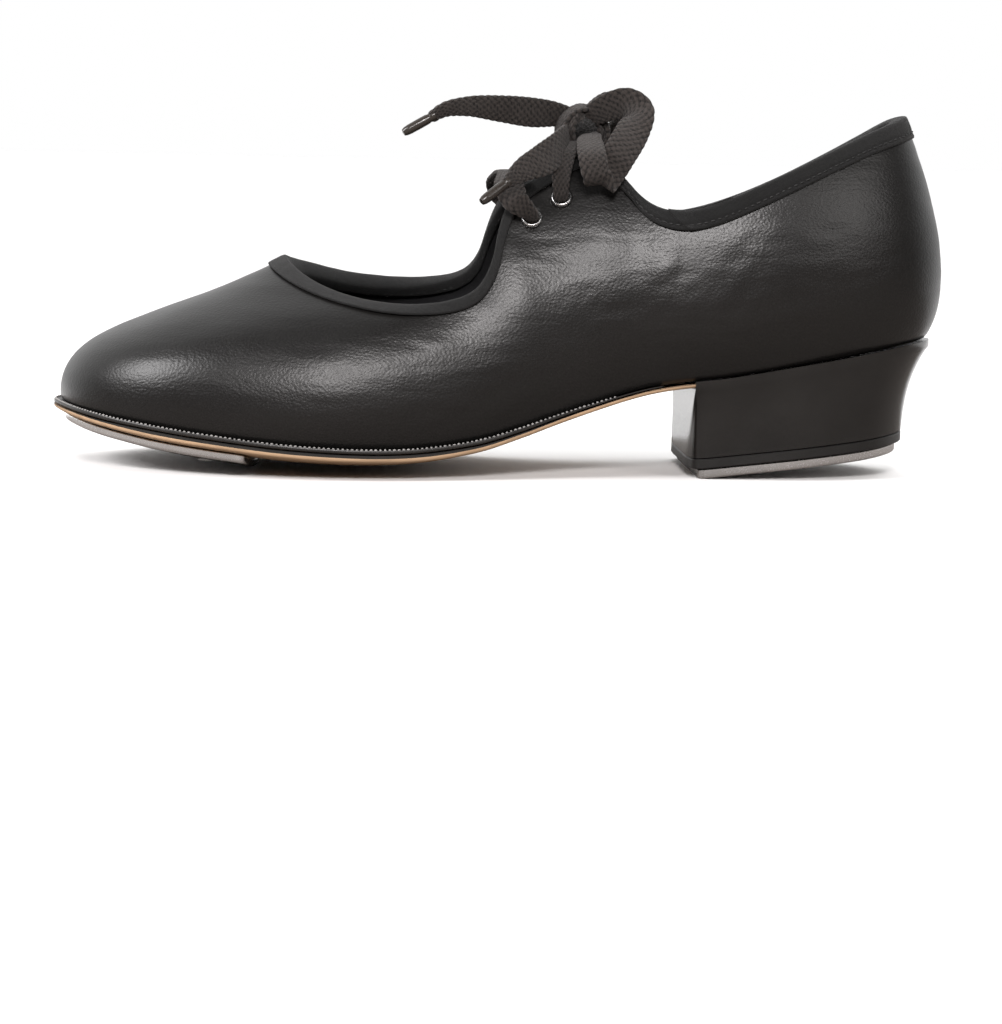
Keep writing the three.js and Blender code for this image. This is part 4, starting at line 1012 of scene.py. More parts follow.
def pierced(points):
    """Opens the eyelets' holes in a wall that closes on itself: which quads stay, with the points
    at the rim of each hole moved onto its circle."""
    quads, _ = grid_faces(points, close_u=True)
    flat = points.reshape(-1, 3)
    keep = np.ones(len(quads), bool)
    middle = flat[quads].mean(1)
    for seat in eyelet_seats():
        offset, near = from_seat(middle, seat)
        inside = near & (np.linalg.norm(offset, axis=1) < EYELET_HOLE)
        rim = np.intersect1d(quads[inside], quads[keep & ~inside])
        offset, _ = from_seat(flat[rim], seat)
        flat[rim] += offset * (EYELET_HOLE / np.linalg.norm(offset, axis=1, keepdims=True) - 1)
        keep &= ~inside
    return keep


# Creases: which side, and the region's x and z, how many, their usual angle, length and depth.
CREASES = (
    (-1, (44, 66), (44, 66), 16, 62, 20, 0.16),
    (-1, (60, 104), (46, 72), 26, 4, 16, 0.11),
    (-1, (20, 52), (40, 62), 16, 28, 14, 0.12),
    (-1, (-2, 24), (48, 66), 14, 24, 12, 0.12),
    (-1, (-62, -20), (26, 43), 26, -14, 12, 0.10),
    (-1, (-30, 14), (14, 34), 16, 18, 16, 0.10),
    (1, (-62, -20), (26, 43), 24, -14, 12, 0.10),
    (1, (20, 60), (40, 64), 22, 40, 16, 0.13),
    (1, (60, 104), (46, 72), 22, 4, 16, 0.11),
)


def creased(points, normals, depth):
    """Wear creases and a little unevenness pressed into the upper's side walls."""
    seeded = np.random.default_rng(11)
    pressed = np.zeros(points.shape[:2])
    for side, (x0, x1), (z0, z1), count, angle, length, deep in CREASES:
        near = (points[..., 1] * side > 4) & (points[..., 0] > x0 - 20) & (points[..., 0] < x1 + 20)
        place = points[near][:, [0, 2]]
        total = np.zeros(len(place))
        for _ in range(count):
            middle = np.array([seeded.uniform(x0, x1), seeded.uniform(z0, z1)])
            turn = math.radians(angle + seeded.normal(0, 11))
            run, wide = length * seeded.uniform(0.5, 1.2), seeded.uniform(1.9, 3.2)
            along = (place - middle) @ (math.cos(turn), math.sin(turn))
            bow = 1.2 * np.sin(along / run * 2.5 + seeded.uniform(0, 6))
            away = (place - middle) @ (-math.sin(turn), math.cos(turn)) + bow
            fade = np.exp(-((along / (run / 2)) ** 4))
            furrow = (1 - (away / wide) ** 2) * np.exp(-((away / wide) ** 2))
            total += deep * seeded.uniform(0.4, 1.2) * fade * furrow
        pressed[near] += total
    wavy, fine = unevenness(points, 15, 15, 7), unevenness(points, 9, 9, 2.2)
    height = ease(ramp(0.08, 0.3, np.linspace(0, 1, pressed.shape[1])))[None, :]
    return points + normals * ((0.12 * wavy + 0.05 * fine) * height - pressed * depth)[..., None]


def upper_mesh(crease):
    """The upper's outer face: its edge turned in under the foot, a tight bend, and the wall."""
    s = (np.arange(COLUMNS) * STATIONS / COLUMNS)[:, None]
    v = np.linspace(0.035, 1, 88)[None, :]
    point, _, normal = last_frame(s, v)
    wall = creased(point, normal, crease)
    foot, _, outward = last_frame(s[:, 0], np.zeros(COLUMNS))
    outward = unit(outward * (1, 1, 0))

    def on_bed(inset):
        p = foot - outward * inset
        p[:, 2] = bed(p[:, 0], p[:, 1])
        return p

    start, end, corner = on_bed(1.1), wall[:, 0], on_bed(0.0)
    bend = [mix(mix(start, corner, t), mix(corner, end, t), t) for t in np.linspace(0, 1, 7)[:-1]]
    under = [on_bed(inset) for inset in np.linspace(LASTING_MARGIN, 2, 6)]
    points = np.concatenate([np.stack([*under, *bend], axis=1), wall], axis=1)
    keep = pierced(points)
    return smooth(surface("upper", points, close_u=True, keep=keep))


def lining_mesh():
    """The lining's outer face, a little slack towards the middle of the foot."""
    s = (np.arange(COLUMNS // 2) * 2 * STATIONS / COLUMNS)[:, None]
    points = wall_point(s, np.linspace(0.13, 1, 60)[None, :], LINING_DEPTH)
    slack = 0.25 * np.abs(unevenness(points, 12, 12, 8))
    points = points - unit(points * (0, 1, 0)) * slack[..., None]
    keep = pierced(points)
    return smooth(surface("lining", points, close_u=True, keep=keep))


def uv_from_plan(mesh):
    """A UV map in mm from above, for a flat piece of cloth."""
    layer = mesh.uv_layers.new(name="surface")
    places = np.empty(len(mesh.vertices) * 3, np.float32)
    mesh.vertices.foreach_get("co", places)
    corners = np.empty(len(mesh.loops), np.int32)
    mesh.loops.foreach_get("vertex_index", corners)
    layer.data.foreach_set("uv", (places.reshape(-1, 3)[corners, :2] / MM).ravel())


def sock_mesh():
    """The sock on the insole, with its edge rolled down, inside the lining."""
    feather = last_point(np.arange(STATIONS), 0)[:, :2]
    low = INSOLE_TOP + GAP
    levels = []
    for inset, share in ((0.4, 1), (0.1, 0.75), (0, 0.3), (0, 0)):
        outline = Outline(feather, WALL_DEPTH + GAP + inset)
        levels.append((outline, over(bed, low + SOCK_THICKNESS * share)))
    sock = plate("sock", levels, 120, 30)
    uv_from_plan(sock)
    return tidied(sock, sharp=50, merge=0.01)


# Stiffeners: the stations they reach between, and the heights of their lower edge, of their upper
# edge at its ends and of its middle.
STIFFENERS = {
    "toe_puff": (-3.5, 3.5, 0.12, 0.2, 0.52),
    "heel_counter": (BACK_STATION - 3, BACK_STATION + 3, 0.13, 0.3, 0.68),
    "eyelet_stay_lateral": (8, 11, 0.62, 0.985, 0.985),
    "eyelet_stay_medial": (STATIONS - 11, STATIONS - 8, 0.62, 0.985, 0.985),
}


def stiffener_mesh(name, start, stop, low, high_ends, high_middle):
    """A stiffener's outer face."""
    t = np.linspace(0, 1, 48)[:, None]
    s = mix(start, stop, t)
    high = mix(high_ends, high_middle, np.sin(math.pi * t))
    v = mix(low, high, np.linspace(0, 1, 16)[None, :])
    return smooth(surface(name, wall_point(s, v, STIFFENER_DEPTH)))


def tape_profile(width, lift=0.0, puff=0.06, stitched=None):
    """(distance below the topline, offset out of the wall) along the middle of a folded tape."""
    outer = GAP + TAPE_THICKNESS / 2 + lift
    inner = -(WALL_DEPTH + TAPE_EASE + TAPE_THICKNESS / 2)
    down = np.linspace(width, 0.3, 14)
    swell = puff * np.sin(math.pi * np.clip(down / width, 0, 1)) ** 0.7
    if stitched is not None:
        swell = swell - 0.2 * np.exp(-(((down - stitched) / 0.55) ** 2))
    rise = GAP * 1.5 + TAPE_THICKNESS / 2 + lift
    angle = np.linspace(0, math.pi, 14)[1:-1]
    middle, reach = (outer + inner) / 2, (outer - inner) / 2
    arch = [(-rise * math.sin(a), middle + reach * math.cos(a)) for a in angle]
    leg = [(d, inner - 0.12 * math.sin(math.pi * d / width)) for d in np.linspace(0.3, width, 10)]
    front = list(zip(down, outer + swell, strict=True))
    front[0] = (front[0][0], outer - 0.16)
    return np.array(front + arch + leg)


def tape_mesh(name, start, stop, profile, skew=0.0, fade=0.0, seed=0.0):
    """A folded tape swept along the topline. skew starts its lower edge later, in stations, and
    fade sinks it towards its far end, in mm."""
    distance, offset = profile.T
    count = int(abs(stop - start) * 26) + 2
    share = np.linspace(0, 1, count)[:, None]
    late = skew * np.clip(distance, 0, None)[None, :] / distance.max()
    s = mix(start + late, stop, share)
    places = [[Vector((a * 3.1 + seed, d * 0.3, 0)) for d in distance] for a in s[:, 0]]
    pucker = np.array([[noise.noise(place) for place in row] for row in places])
    offset = offset[None, :] + 0.1 * pucker * np.sign(offset)[None, :]
    offset = offset - fade * share * np.sign(offset)
    mesh = surface(name, below_topline(s, distance[None, :] + 0 * s, offset))
    mesh.flip_normals()
    return smooth(mesh)


def stitch_line(start, stop, distance, offset):
    """Where a row of stitches runs on a tape, as points and directions out of it."""
    s = np.linspace(start, stop, int(abs(stop - start) * 20))
    points = below_topline(s, distance, offset)
    _, _, normal = last_frame(s, 1 - distance / column_length(s))
    return points, normal * math.copysign(1, offset)


# ---------------------------------------------------------------- sole, heel and taps
def rand_mesh(rim, inward):
    """The strip between upper and outsole, from the waist round the toe to the waist."""
    rows = np.array([(0.14, 0), (0, 0.16), (0, 0.84), (0.14, 1), (RAND_WIDTH, 1), (RAND_WIDTH, 0)])
    xy = rim[:, None] + inward[:, None] * rows[None, :, :1]
    x, y = xy[..., 0], xy[..., 1]
    z = bed(x, y) - GAP - rand_thickness(x) * rows[None, :, 1]
    return tidied(surface("rand", np.stack([x, y, z], -1), close_v=True, caps=True), sharp=50)


def rand_rim(limit):
    """The sole's edge in front of a limit, as points 1 mm apart and directions into the plate."""
    rim = catmull_rom(SOLE_PLAN, 1200, True)
    rim = spaced(np.vstack([rim, rim[:1]]), 1.0)[:-1]
    along = unit(np.roll(rim, -1, 0) - np.roll(rim, 1, 0))
    inward = np.stack([-along[:, 1], along[:, 0]], axis=1)
    behind = rim[:, 0] > limit
    first = int(np.argmax(behind))
    last = len(rim) - int(np.argmax(behind[::-1]))
    order = np.concatenate([np.arange(last, len(rim)), np.arange(first)])
    return rim[order], inward[order]


def outsole_mesh():
    edge, tread = Outline(SOLE_PLAN), Outline(SOLE_PLAN, SOLE_BEVEL)
    levels = [
        (Outline(SOLE_PLAN, 0.3), outsole_top),
        (edge, over(outsole_top, -0.2)),
        (edge, over(outsole_bottom, SOLE_BEVEL + 0.35)),
        (edge, over(outsole_bottom, SOLE_BEVEL * 0.8)),
        (Outline(SOLE_PLAN, SOLE_BEVEL * 0.35), over(outsole_bottom, SOLE_BEVEL * 0.3)),
        (tread, outsole_bottom),
    ]
    return tidied(plate("outsole", levels, 240, 36, bare=3), sharp=38, merge=0.01)


class Blend:
    """An outline part of the way from the heel's seat to its foot."""

    def __init__(self, seat, foot, h):
        self.seat, self.foot, self.h = seat, foot, h
        self.pinch = math.sin(math.pi * h**0.8) * 2.3

    def at(self, u, w):
        seat_x, seat_y = self.seat.at(u, w)
        foot_x, foot_y = self.foot.at(u, w)
        x = mix(seat_x, foot_x, self.h) - self.pinch * u * u
        return x, mix(seat_y, foot_y, self.h) * (1 - 0.012 * self.pinch * (1 - u))


def heel_level(h):
    """The heel's cut at a share of its height, from the seat down to the foot."""
    return lambda x, y: mix(outsole_bottom(x, y) - GAP, heel_bottom(x), h)


def heel_mesh():
    """The covered block. Its cover wraps the edge of the sole's seat."""
    seat = Outline(SOLE_PLAN, -0.2, start=HEEL_BREAST)
    foot = Outline(HEEL_EDGE, start=HEEL_BREAST - 1)
    levels = [(seat, over(bed, -1.2 * GAP))]
    levels += [(Blend(seat, foot, h), heel_level(h)) for h in np.linspace(0, 1, 22)]
    return tidied(plate("heel", levels, 84, 28), sharp=35, merge=0.01)


def top_lift_mesh():
    def outline(inset):
        return Outline(HEEL_EDGE, inset, start=HEEL_BREAST - 1 + inset)

    def height(share):
        return lambda x, y: lift_bottom(x) + TOP_LIFT_THICKNESS * share

    levels = [(outline(0.25), height(1)), (outline(0), height(0.9)), (outline(0), height(0.1)),
              (outline(0.25), height(0))]
    return tidied(plate("top_lift", levels, 84, 24), sharp=35, merge=0.01)


def bevelled(outline_at, bottom, thickness):
    """Levels of a tap: a small bevel above, and a round one below."""
    small = 0.25
    levels = [(outline_at(small), over(bottom, thickness)), (outline_at(0), over(bottom, thickness - small))]
    for angle in np.linspace(0, math.pi / 2, 5):
        inset, rise = TAP_BEVEL * (1 - math.cos(angle)), TAP_BEVEL * (1 - math.sin(angle))
        levels.append((outline_at(inset), over(bottom, rise)))
    return levels


def heel_tap_mesh():
    front = HEEL_BREAST + HEEL_TAP_INSET

    def outline_at(bevel):
        return Outline(HEEL_EDGE, HEEL_TAP_INSET + bevel, start=front + bevel)

    levels = bevelled(outline_at, lambda x, y: tap_face(x), HEEL_TAP_THICKNESS)
    return tidied(plate("heel_tap", levels, 96, 24), sharp=40, merge=0.01)


def toe_tap_points():
    """The toe tap's plan: the sole's edge inset, and a rear edge bowed back by 3 mm."""
    corner = TOE_TAP_REAR - 3.0
    front = Outline(SOLE_PLAN, TOE_TAP_INSET)
    stops = mix(front.front, corner, np.array([0, 0.16, 0.32, 0.5, 0.68, 0.84, 1]))
    lateral, medial = front.span(stops)
    rear = [(TOE_TAP_REAR - 0.4, -18), (TOE_TAP_REAR + 0.4, 0), (TOE_TAP_REAR - 0.4, 20)]
    sides = list(zip(stops, medial, strict=True))[:0:-1]
    return [*zip(stops, lateral, strict=True), *rear, *sides]


def toe_tap_mesh():
    rim = toe_tap_points()
    bottom = over(outsole_bottom, -TAP_GAP - TOE_TAP_THICKNESS)
    levels = bevelled(lambda bevel: Outline(rim, bevel), bottom, TOE_TAP_THICKNESS)
    return tidied(plate("toe_tap", levels, 120, 40), sharp=40, merge=0.01)


def screw_mesh(name, head, shank, long):
    """A countersunk screw with a cross recess, its head's face at z = 0 and its point below."""
    a, b = np.meshgrid(np.linspace(-1, 1, 30), np.linspace(-1, 1, 30), indexing="ij")
    x, y = a * np.sqrt(1 - b * b / 2) * head, b * np.sqrt(1 - a * a / 2) * head
    arm, reach, deep, dome = 0.34, head * 0.56, 0.75, 0.12

    def slot(across, along):
        in_width = ease(ramp(arm + 0.12, arm - 0.12, np.abs(across)))
        return in_width * ease(ramp(reach + 0.1, reach - 0.35, np.abs(along)))

    z = dome * (1 - (x * x + y * y) / head**2) - deep * np.maximum(slot(x, y), slot(y, x))
    face = surface(name, np.stack([x, y, z], -1))
    body = [(head, 0), (head, -0.25), (shank, shank - head - 0.3)]
    thread = np.arange(shank - head - 0.6, -long + 1.6, -0.4)
    body += [(shank * (1 if k % 2 else 0.8), height) for k, height in enumerate(thread)]
    body += [(shank * 0.7, -long + 1.2), (0, -long)]
    return joined(name, [tidied(face, sharp=60), lathe(name + "_body", body, 24)])


# ---------------------------------------------------------------- settings
def size_setting(name, description, millimetres):
    return bpy.props.FloatProperty(
        name=name, description=description, default=millimetres * MM, min=0, precision=5, subtype="DISTANCE"
    )


def colour_setting(name, description, default):
    return bpy.props.FloatVectorProperty(
        name=name, description=description, default=default, size=3, min=0, max=1, subtype="COLOR"
    )


def angle_setting(name, description, degrees):
    return bpy.props.FloatProperty(
        name=name, description=description, default=math.radians(degrees), subtype="ANGLE"
    )


class TapShoeSizes(bpy.types.PropertyGroup):
    """Sizes of what is braided, sewn, wheeled or creased."""

    lace_width: size_setting("Lace Width", "Width of the flat lace", 8.0)
    lace_thickness: size_setting("Lace Thickness", "Thickness of the flat lace", 1.3)
    plait_relief: size_setting("Plait Relief", "How far the lace's strands stand out", 0.34)
    stitch_pitch: size_setting("Stitch Pitch", "From one stitch of the bindings to the next", 1.9)
    stitch_length: size_setting("Stitch Length", "Length of thread that shows of one stitch", 1.35)
    wheel_pitch: size_setting("Wheeling Pitch", "From one mark of the wheeled line to the next", 1.25)
    grain: size_setting("Grain", "Size of the leather's pebbles", 0.7)
    crease_depth: bpy.props.FloatProperty(
        name="Crease Depth", description="Depth of the wear creases, as a share of deep ones", default=0.45,
        min=0, max=1, subtype="FACTOR"
    )


class TapShoeColours(bpy.types.PropertyGroup):
    """Colours of the finishes."""

    leather: colour_setting("Leather", "Coated leather of the upper", (0.0062, 0.0057, 0.0054))
    tape: colour_setting("Tape", "Binding tape", (0.0065, 0.0065, 0.0065))
    lining: colour_setting("Lining", "Woven lining and sock", (0.014, 0.014, 0.016))
    lace: colour_setting("Lace", "Braided lace", (0.0155, 0.0128, 0.0115))
    sole: colour_setting("Sole", "Underside of the outsole", (0.62, 0.42, 0.26))
    heel: colour_setting("Heel", "Heel cover and painted edges", (0.011, 0.0103, 0.0098))
    metal: colour_setting("Taps", "Metal of the taps", (0.86, 0.87, 0.88))


class TapShoeView(bpy.types.PropertyGroup):
    """Where the camera stands and looks."""

    distance: size_setting("Distance", "From the middle of the shoe to the camera", 800.0)
    height: size_setting("Height", "Of the camera over the floor", 92.0)
    azimuth: angle_setting("Azimuth", "Camera's place round the shoe", -3.5)
    yaw: angle_setting("Yaw", "Direction the camera looks in", -3.59)
    pitch: angle_setting("Pitch", "How far the camera looks down", 7.48)
    roll: angle_setting("Roll", "Turn of the camera about its own axis", 1.28)
    lens: bpy.props.FloatProperty(
        name="Lens", description="Focal length", default=101.25, min=1, subtype="DISTANCE_CAMERA"
    )


# ---------------------------------------------------------------- operators
FLOOR_SEEN = (0.97, 0.965, 0.96)
FLOOR_BOUNCED = (0.2, 0.176, 0.16)  # darker, so that it doesn't light the shoe's sides from below
BRIGHT_FLOOR = 90.0  # behind this line the shoe's far faces see the floor as white
FLOOR_REACH = 9000.0
# Strength of the sky in front of the shoe and behind it, and where in Y it turns from one to the other.
SKY = {"To Min": 0.05, "To Max": 1.0, "From Min": -0.25, "From Max": 0.45}
# Light boxes: place and aim in metres, width, depth, watts and tint.
LIGHT_BOXES = {
    "left": ((-0.85, -0.4, 0.66), (-0.06, -0.02, 0.03), 0.4, 0.4, 9.5, (1, 0.985, 0.99)),
    "front": ((-0.04, -0.9, 0.58), (0.01, 0, 0.04), 0.3, 0.22, 8, (1, 0.965, 0.96)),
    "right": ((0.7, -0.7, 0.5), (0.08, 0, 0.06), 0.4, 0.5, 2.2, (1, 0.97, 0.95)),
}


def add_camera(scene, view):
    azimuth, yaw, pitch = view.azimuth, view.yaw, view.pitch
    place = Vector((view.distance * math.sin(azimuth), -view.distance * math.cos(azimuth), view.height))
    ahead = Vector((-math.sin(yaw) * math.cos(pitch), math.cos(yaw) * math.cos(pitch), -math.sin(pitch)))
    turn = ahead.to_track_quat("-Z", "Y").to_matrix().to_4x4()
    data = bpy.data.cameras.new("camera")
    data.lens = view.lens
    data.sensor_width = 36
    data.clip_start, data.clip_end = 0.05, 40
    camera = bpy.data.objects.new("camera", data)
    camera.matrix_world = Matrix.Translation(place) @ turn @ Matrix.Rotation(view.roll, 4, "Z")
    scene.collection.objects.link(camera)
    scene.camera = camera


def add_floor(scene):
    """White paper. Only the camera, and what looks far behind the shoe, sees it at its full white."""
    corners = [(x * FLOOR_REACH, y * FLOOR_REACH, 0) for x, y in ((-1, -1), (1, -1), (1, 1), (-1, 1))]
    floor = mesh_from("floor", corners, [(0, 1, 2, 3)])
    paper = Finish("white_paper", 0.8)
    seen = paper.node("LightPath").outputs["Is Camera Ray"]
    across = paper.node("SeparateXYZ", {"Vector": paper.object_mm()}).outputs["Y"]
    lit = paper.math("MAXIMUM", seen, paper.math("GREATER_THAN", across, BRIGHT_FLOOR))
    paper.set("Base Color", paper.ramp(lit, (0.0, FLOOR_BOUNCED), (1.0, FLOOR_SEEN)))
    floor.materials.append(paper.material)
    ground = bpy.data.objects.new("floor", floor)
    scene.collection.objects.link(ground)


def add_sky(scene):
    """A white surround that is dark in front of the shoe and bright behind it."""
    world = bpy.data.worlds.new("studio")
    world.use_nodes = True
    nodes, links = world.node_tree.nodes, world.node_tree.links
    sides = nodes.new("ShaderNodeSeparateXYZ")
    links.new(nodes.new("ShaderNodeTexCoord").outputs["Generated"], sides.inputs["Vector"])
    fade = nodes.new("ShaderNodeMapRange")
    fade.interpolation_type = "SMOOTHSTEP"
    for socket, value in SKY.items():
        fade.inputs[socket].default_value = value
    links.new(sides.outputs["Y"], fade.inputs["Value"])
    links.new(fade.outputs["Result"], nodes["Background"].inputs["Strength"])
    nodes["Background"].inputs["Color"].default_value = (1, 1, 1, 1)
    scene.world = world
    scene.view_settings.view_transform = "Standard"


def add_lights(scene):
    """Soft boxes for the highlights, and a wide fill that doesn't show in them."""
    for name, (spot, aim, width, depth, power, tint) in LIGHT_BOXES.items():
        light = bpy.data.lights.new(name, "AREA")
        light.shape = "RECTANGLE"
        light.size, light.size_y = width, depth
        light.energy = power
        light.color = tint
        lamp = bpy.data.objects.new(name, light)
        lamp.location = spot
        lamp.rotation_euler = (Vector(aim) - Vector(spot)).to_track_quat("-Z", "Y").to_euler()
        scene.collection.objects.link(lamp)
    fill = bpy.data.lights.new("fill", "SUN")
    fill.energy, fill.angle = 2.1, math.radians(70)
    sun = bpy.data.objects.new("fill", fill)
    sun.visible_glossy = False
    sun.rotation_euler = (math.radians(-12), math.radians(6), 0)
    scene.collection.objects.link(sun)


class SHOE_OT_stage(bpy.types.Operator):
    """Floor, lights and camera"""

    bl_idname = "tap_shoe.stage"
    bl_label = "Stage"

    def execute(self, context):
        add_camera(context.scene, context.scene.tap_shoe_view)
        add_floor(context.scene)
        add_sky(context.scene)
        add_lights(context.scene)
        return {"FINISHED"}


class SHOE_OT_lace(bpy.types.Operator):
    """Flat plaited lace: two free ends in a bow, the bar over the tabs, the crossings and the knot"""

    bl_idname = "tap_shoe.lace"
    bl_label = "Lace"

    def execute(self, context):
        sizes, colours = context.scene.tap_shoe_sizes, context.scene.tap_shoe_colours
        cut = [size / MM for size in (sizes.lace_width, sizes.lace_thickness, sizes.plait_relief)]
        braid = braid_finish(colours)
        film = moulded_finish("aglet_film", (0.03, 0.025, 0.021), 0.25)
        lateral_front, lateral_rear, medial_front, medial_rear = eyelet_seats()
        for side, riser, seat, loop, tail, lay in (
            ("lateral", RISER, lateral_rear, LOOP_LATERAL, TAIL_LATERAL, "hanging"),
            ("medial", mirrored(RISER), medial_rear, LOOP_MEDIAL, TAIL_MEDIAL, "loose"),
        ):
            mesh, centre = ribbon("lace", [*through_eyelet(seat), *riser[1:], *loop, *tail], *cut)
            nodes = [f"lace_{part}_{side}" for part in ("riser", "loop", "tail")]
            piece = add_piece(f"lace_{side}", mesh, [braid], nodes)
            tip = add_piece(f"lace_tip_{side}", aglet_mesh("tip", tail), [film], [f"aglet_{side}"])
            declare_lace(centre, sizes.lace_width, lay)
        half = [*through_eyelet(lateral_front), *BAR[1:]]
        other = [*through_eyelet(medial_front), *mirrored(BAR)[1:-1]]
        bar = ribbon("bar", [*half, *other[::-1]], *cut)[0]
        add_piece("lace_over_tabs", bar, [braid], ["lace_bar"])
        inside = {"lateral": (lateral_front, medial_rear, 1.2), "medial": (medial_front, lateral_rear, 5.0)}
        for side, (start, end, arch) in inside.items():
            mesh = ribbon("crossing", crossing_stations(start, end, arch), *cut)[0]
            add_piece(f"lace_inside_{side}", mesh, [braid], [f"lace_crossing_{side}"])
        add_piece("lace_knot_turns", knot_mesh(*cut), [braid], ["lace_knot"])
        return {"FINISHED"}


class SHOE_OT_upper(bpy.types.Operator):
    """Upper of coated leather, turned in under the insole"""

    bl_idname = "tap_shoe.upper"
    bl_label = "Upper"

    def execute(self, context):
        sizes, colours = context.scene.tap_shoe_sizes, context.scene.tap_shoe_colours
        leather = leather_finish(colours, sizes)
        mesh = upper_mesh(sizes.crease_depth)
        thicken(add_piece("upper_leather", mesh, [leather], ["upper"]), UPPER_THICKNESS)
        return {"FINISHED"}


class SHOE_OT_inside(bpy.types.Operator):
    """Lining, sock, stiffeners and the hidden parts of the bottom"""

    bl_idname = "tap_shoe.inside"
    bl_label = "Inside"

    def execute(self, context):
        colours = context.scene.tap_shoe_colours
        cloth = cloth_finish("lining_cloth", tuple(colours.lining), 0.7)
        lining = add_piece("lining_cloth", lining_mesh(), [cloth], ["lining"])
        thicken(lining, LINING_THICKNESS)
        sock_cloth = cloth_finish("sock_cloth", tuple(colours.lining), 0.9)
        add_piece("sock_lining_cloth", sock_mesh(), [sock_cloth], ["sock_lining"])
        board = board_finish("fibre_board", (0.42, 0.3, 0.18))
        felt = board_finish("felt", (0.2, 0.13, 0.08))
        steel = metal_finish("plated_steel", (0.6, 0.6, 0.61), 0.35)
        for name, reach in STIFFENERS.items():
            mesh = stiffener_mesh(name, *reach)
            thicken(add_piece(name + "_board", mesh, [board], [name]), STIFFENER_THICKNESS)
        rivets = [f"shank_rivet_{k}" for k in (1, 2)]
        nails = [f"heel_nail_{k}" for k in (1, 2, 3, 4)]
        hidden = {"insole_board": board, "bottom_filler": felt}
        hidden.update({name: steel for name in ("shank", *rivets, "heel_screw", *nails)})
        for name, finish in hidden.items():
            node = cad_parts[name]
            node.data.materials.clear()
            node.data.materials.append(finish)
        return {"FINISHED"}


class SHOE_OT_bindings(bpy.types.Operator):
    """Folded tapes over the top edge, with their stitches"""

    bl_idname = "tap_shoe.bindings"
    bl_label = "Bindings"

    def execute(self, context):
        sizes, colours = context.scene.tap_shoe_sizes, context.scene.tap_shoe_colours
        tape = cloth_finish("binding_tape", tuple(colours.tape), 0.5)
        thread = thread_finish(shade(tuple(colours.tape), 3.4))
        vamp_end, collar_end = TAB_STATION - TAPE_GAP, TAB_STATION + TAPE_GAP
        stitched = COLLAR_TAPE_WIDTH - 1.3
        folded, lapped = (tape_profile(COLLAR_TAPE_WIDTH + more, lift, stitched=stitched)
                          for more, lift in ((0, 0), (0.1, 0.35)))
        vamp = tape_mesh("vamp", -vamp_end, vamp_end, tape_profile(VAMP_TAPE_WIDTH))
        collar = tape_mesh("collar", collar_end, STATIONS - collar_end, folded, seed=7.0)
        lap = tape_mesh("lap", 13.5, 14.5, lapped, skew=0.34, fade=0.8, seed=7.0)
        for name, mesh, nodes in (
            ("vamp_tape", vamp, ["vamp_binding"]),
            ("collar_tape", collar, ["collar_binding"]),
            ("collar_tape_lap", lap, []),
        ):
            thicken(add_piece(name, mesh, [tape], nodes), TAPE_THICKNESS, 0)
        outer, inner = GAP + TAPE_THICKNESS + 0.02, -(WALL_DEPTH + TAPE_EASE + TAPE_THICKNESS)
        sewn = collar_end + 0.3
        size = (sizes.stitch_length / MM, 0.42, 0.3)
        rows = {
            "collar_stitches": stitch_line(sewn, STATIONS - sewn, stitched, outer),
            "collar_stitches_inside": stitch_line(sewn, STATIONS - sewn, stitched, inner),
            "vamp_stitches_inside": stitch_line(-vamp_end, vamp_end, VAMP_TAPE_WIDTH - 0.9, inner),
        }
        for name, (points, outward) in rows.items():
            mesh = row_along(name, points, outward, sizes.stitch_pitch / MM, size, thread)
            add_piece(name, mesh, [thread])
        return {"FINISHED"}


class SHOE_OT_eyelets(bpy.types.Operator):
    """Rolled metal eyelets in the lacing tabs"""

    bl_idname = "tap_shoe.eyelets"
    bl_label = "Eyelets"

    def execute(self, context):
        bore, flange = EYELET_BORE, EYELET_FLANGE
        middle, reach = (bore + flange) / 2, (flange - bore) / 2
        roll = [(middle - reach * math.cos(a), 0.35 + 0.6 * math.sin(a)) for a in np.linspace(0, math.pi, 11)]
        inside = -WALL_DEPTH - 2 * GAP
        profile = [*roll, (flange, 0.15), (bore + EYELET_WALL, 0.15), (bore + EYELET_WALL, inside),
                   (bore + 1.3, inside - 0.1), (bore + 1.2, inside - 0.55), (bore, inside - 0.7)]
        metal = metal_finish("eyelet_metal", (0.72, 0.72, 0.72), 0.22)
        shape = lathe("eyelet", profile, 40, closed=True)
        mesh = set_on_seats("eyelets", shape, eyelet_seats(), metal)
        names = [f"eyelet_{side}_{place}" for side in ("lateral", "medial") for place in ("front", "rear")]
        add_piece("eyelet_rings", mesh, [metal], names)
        return {"FINISHED"}


class SHOE_OT_sole(bpy.types.Operator):
    """Rand with its wheeled line, and outsole"""

    bl_idname = "tap_shoe.sole"
    bl_label = "Sole"

    def execute(self, context):
        sizes, colours = context.scene.tap_shoe_sizes, context.scene.tap_shoe_colours
        paint = moulded_finish("edge_paint", shade(tuple(colours.heel), 2.2), 0.36)
        hide = hide_finish(colours)
        add_piece("rand_strip", rand_mesh(*rand_rim(RAND_END)), [paint], ["rand"])
        rim, inward = rand_rim(30)
        spot = rim + inward * 0.45
        line = np.column_stack([spot, bed(spot[:, 0], spot[:, 1]) - GAP + 0.02])
        outward = unit(np.column_stack([-inward, np.full(len(rim), 1.2)]))
        wax = moulded_finish("wheeled_wax", (0.3, 0.29, 0.28), 0.4)
        marks = row_along("marks", line, outward, sizes.wheel_pitch / MM, (0.85, 0.95, 0.5), wax)
        add_piece("wheeled_line", marks, [wax])
        add_piece("outsole_leather", outsole_mesh(), [paint, hide, hide], ["outsole"])
        return {"FINISHED"}


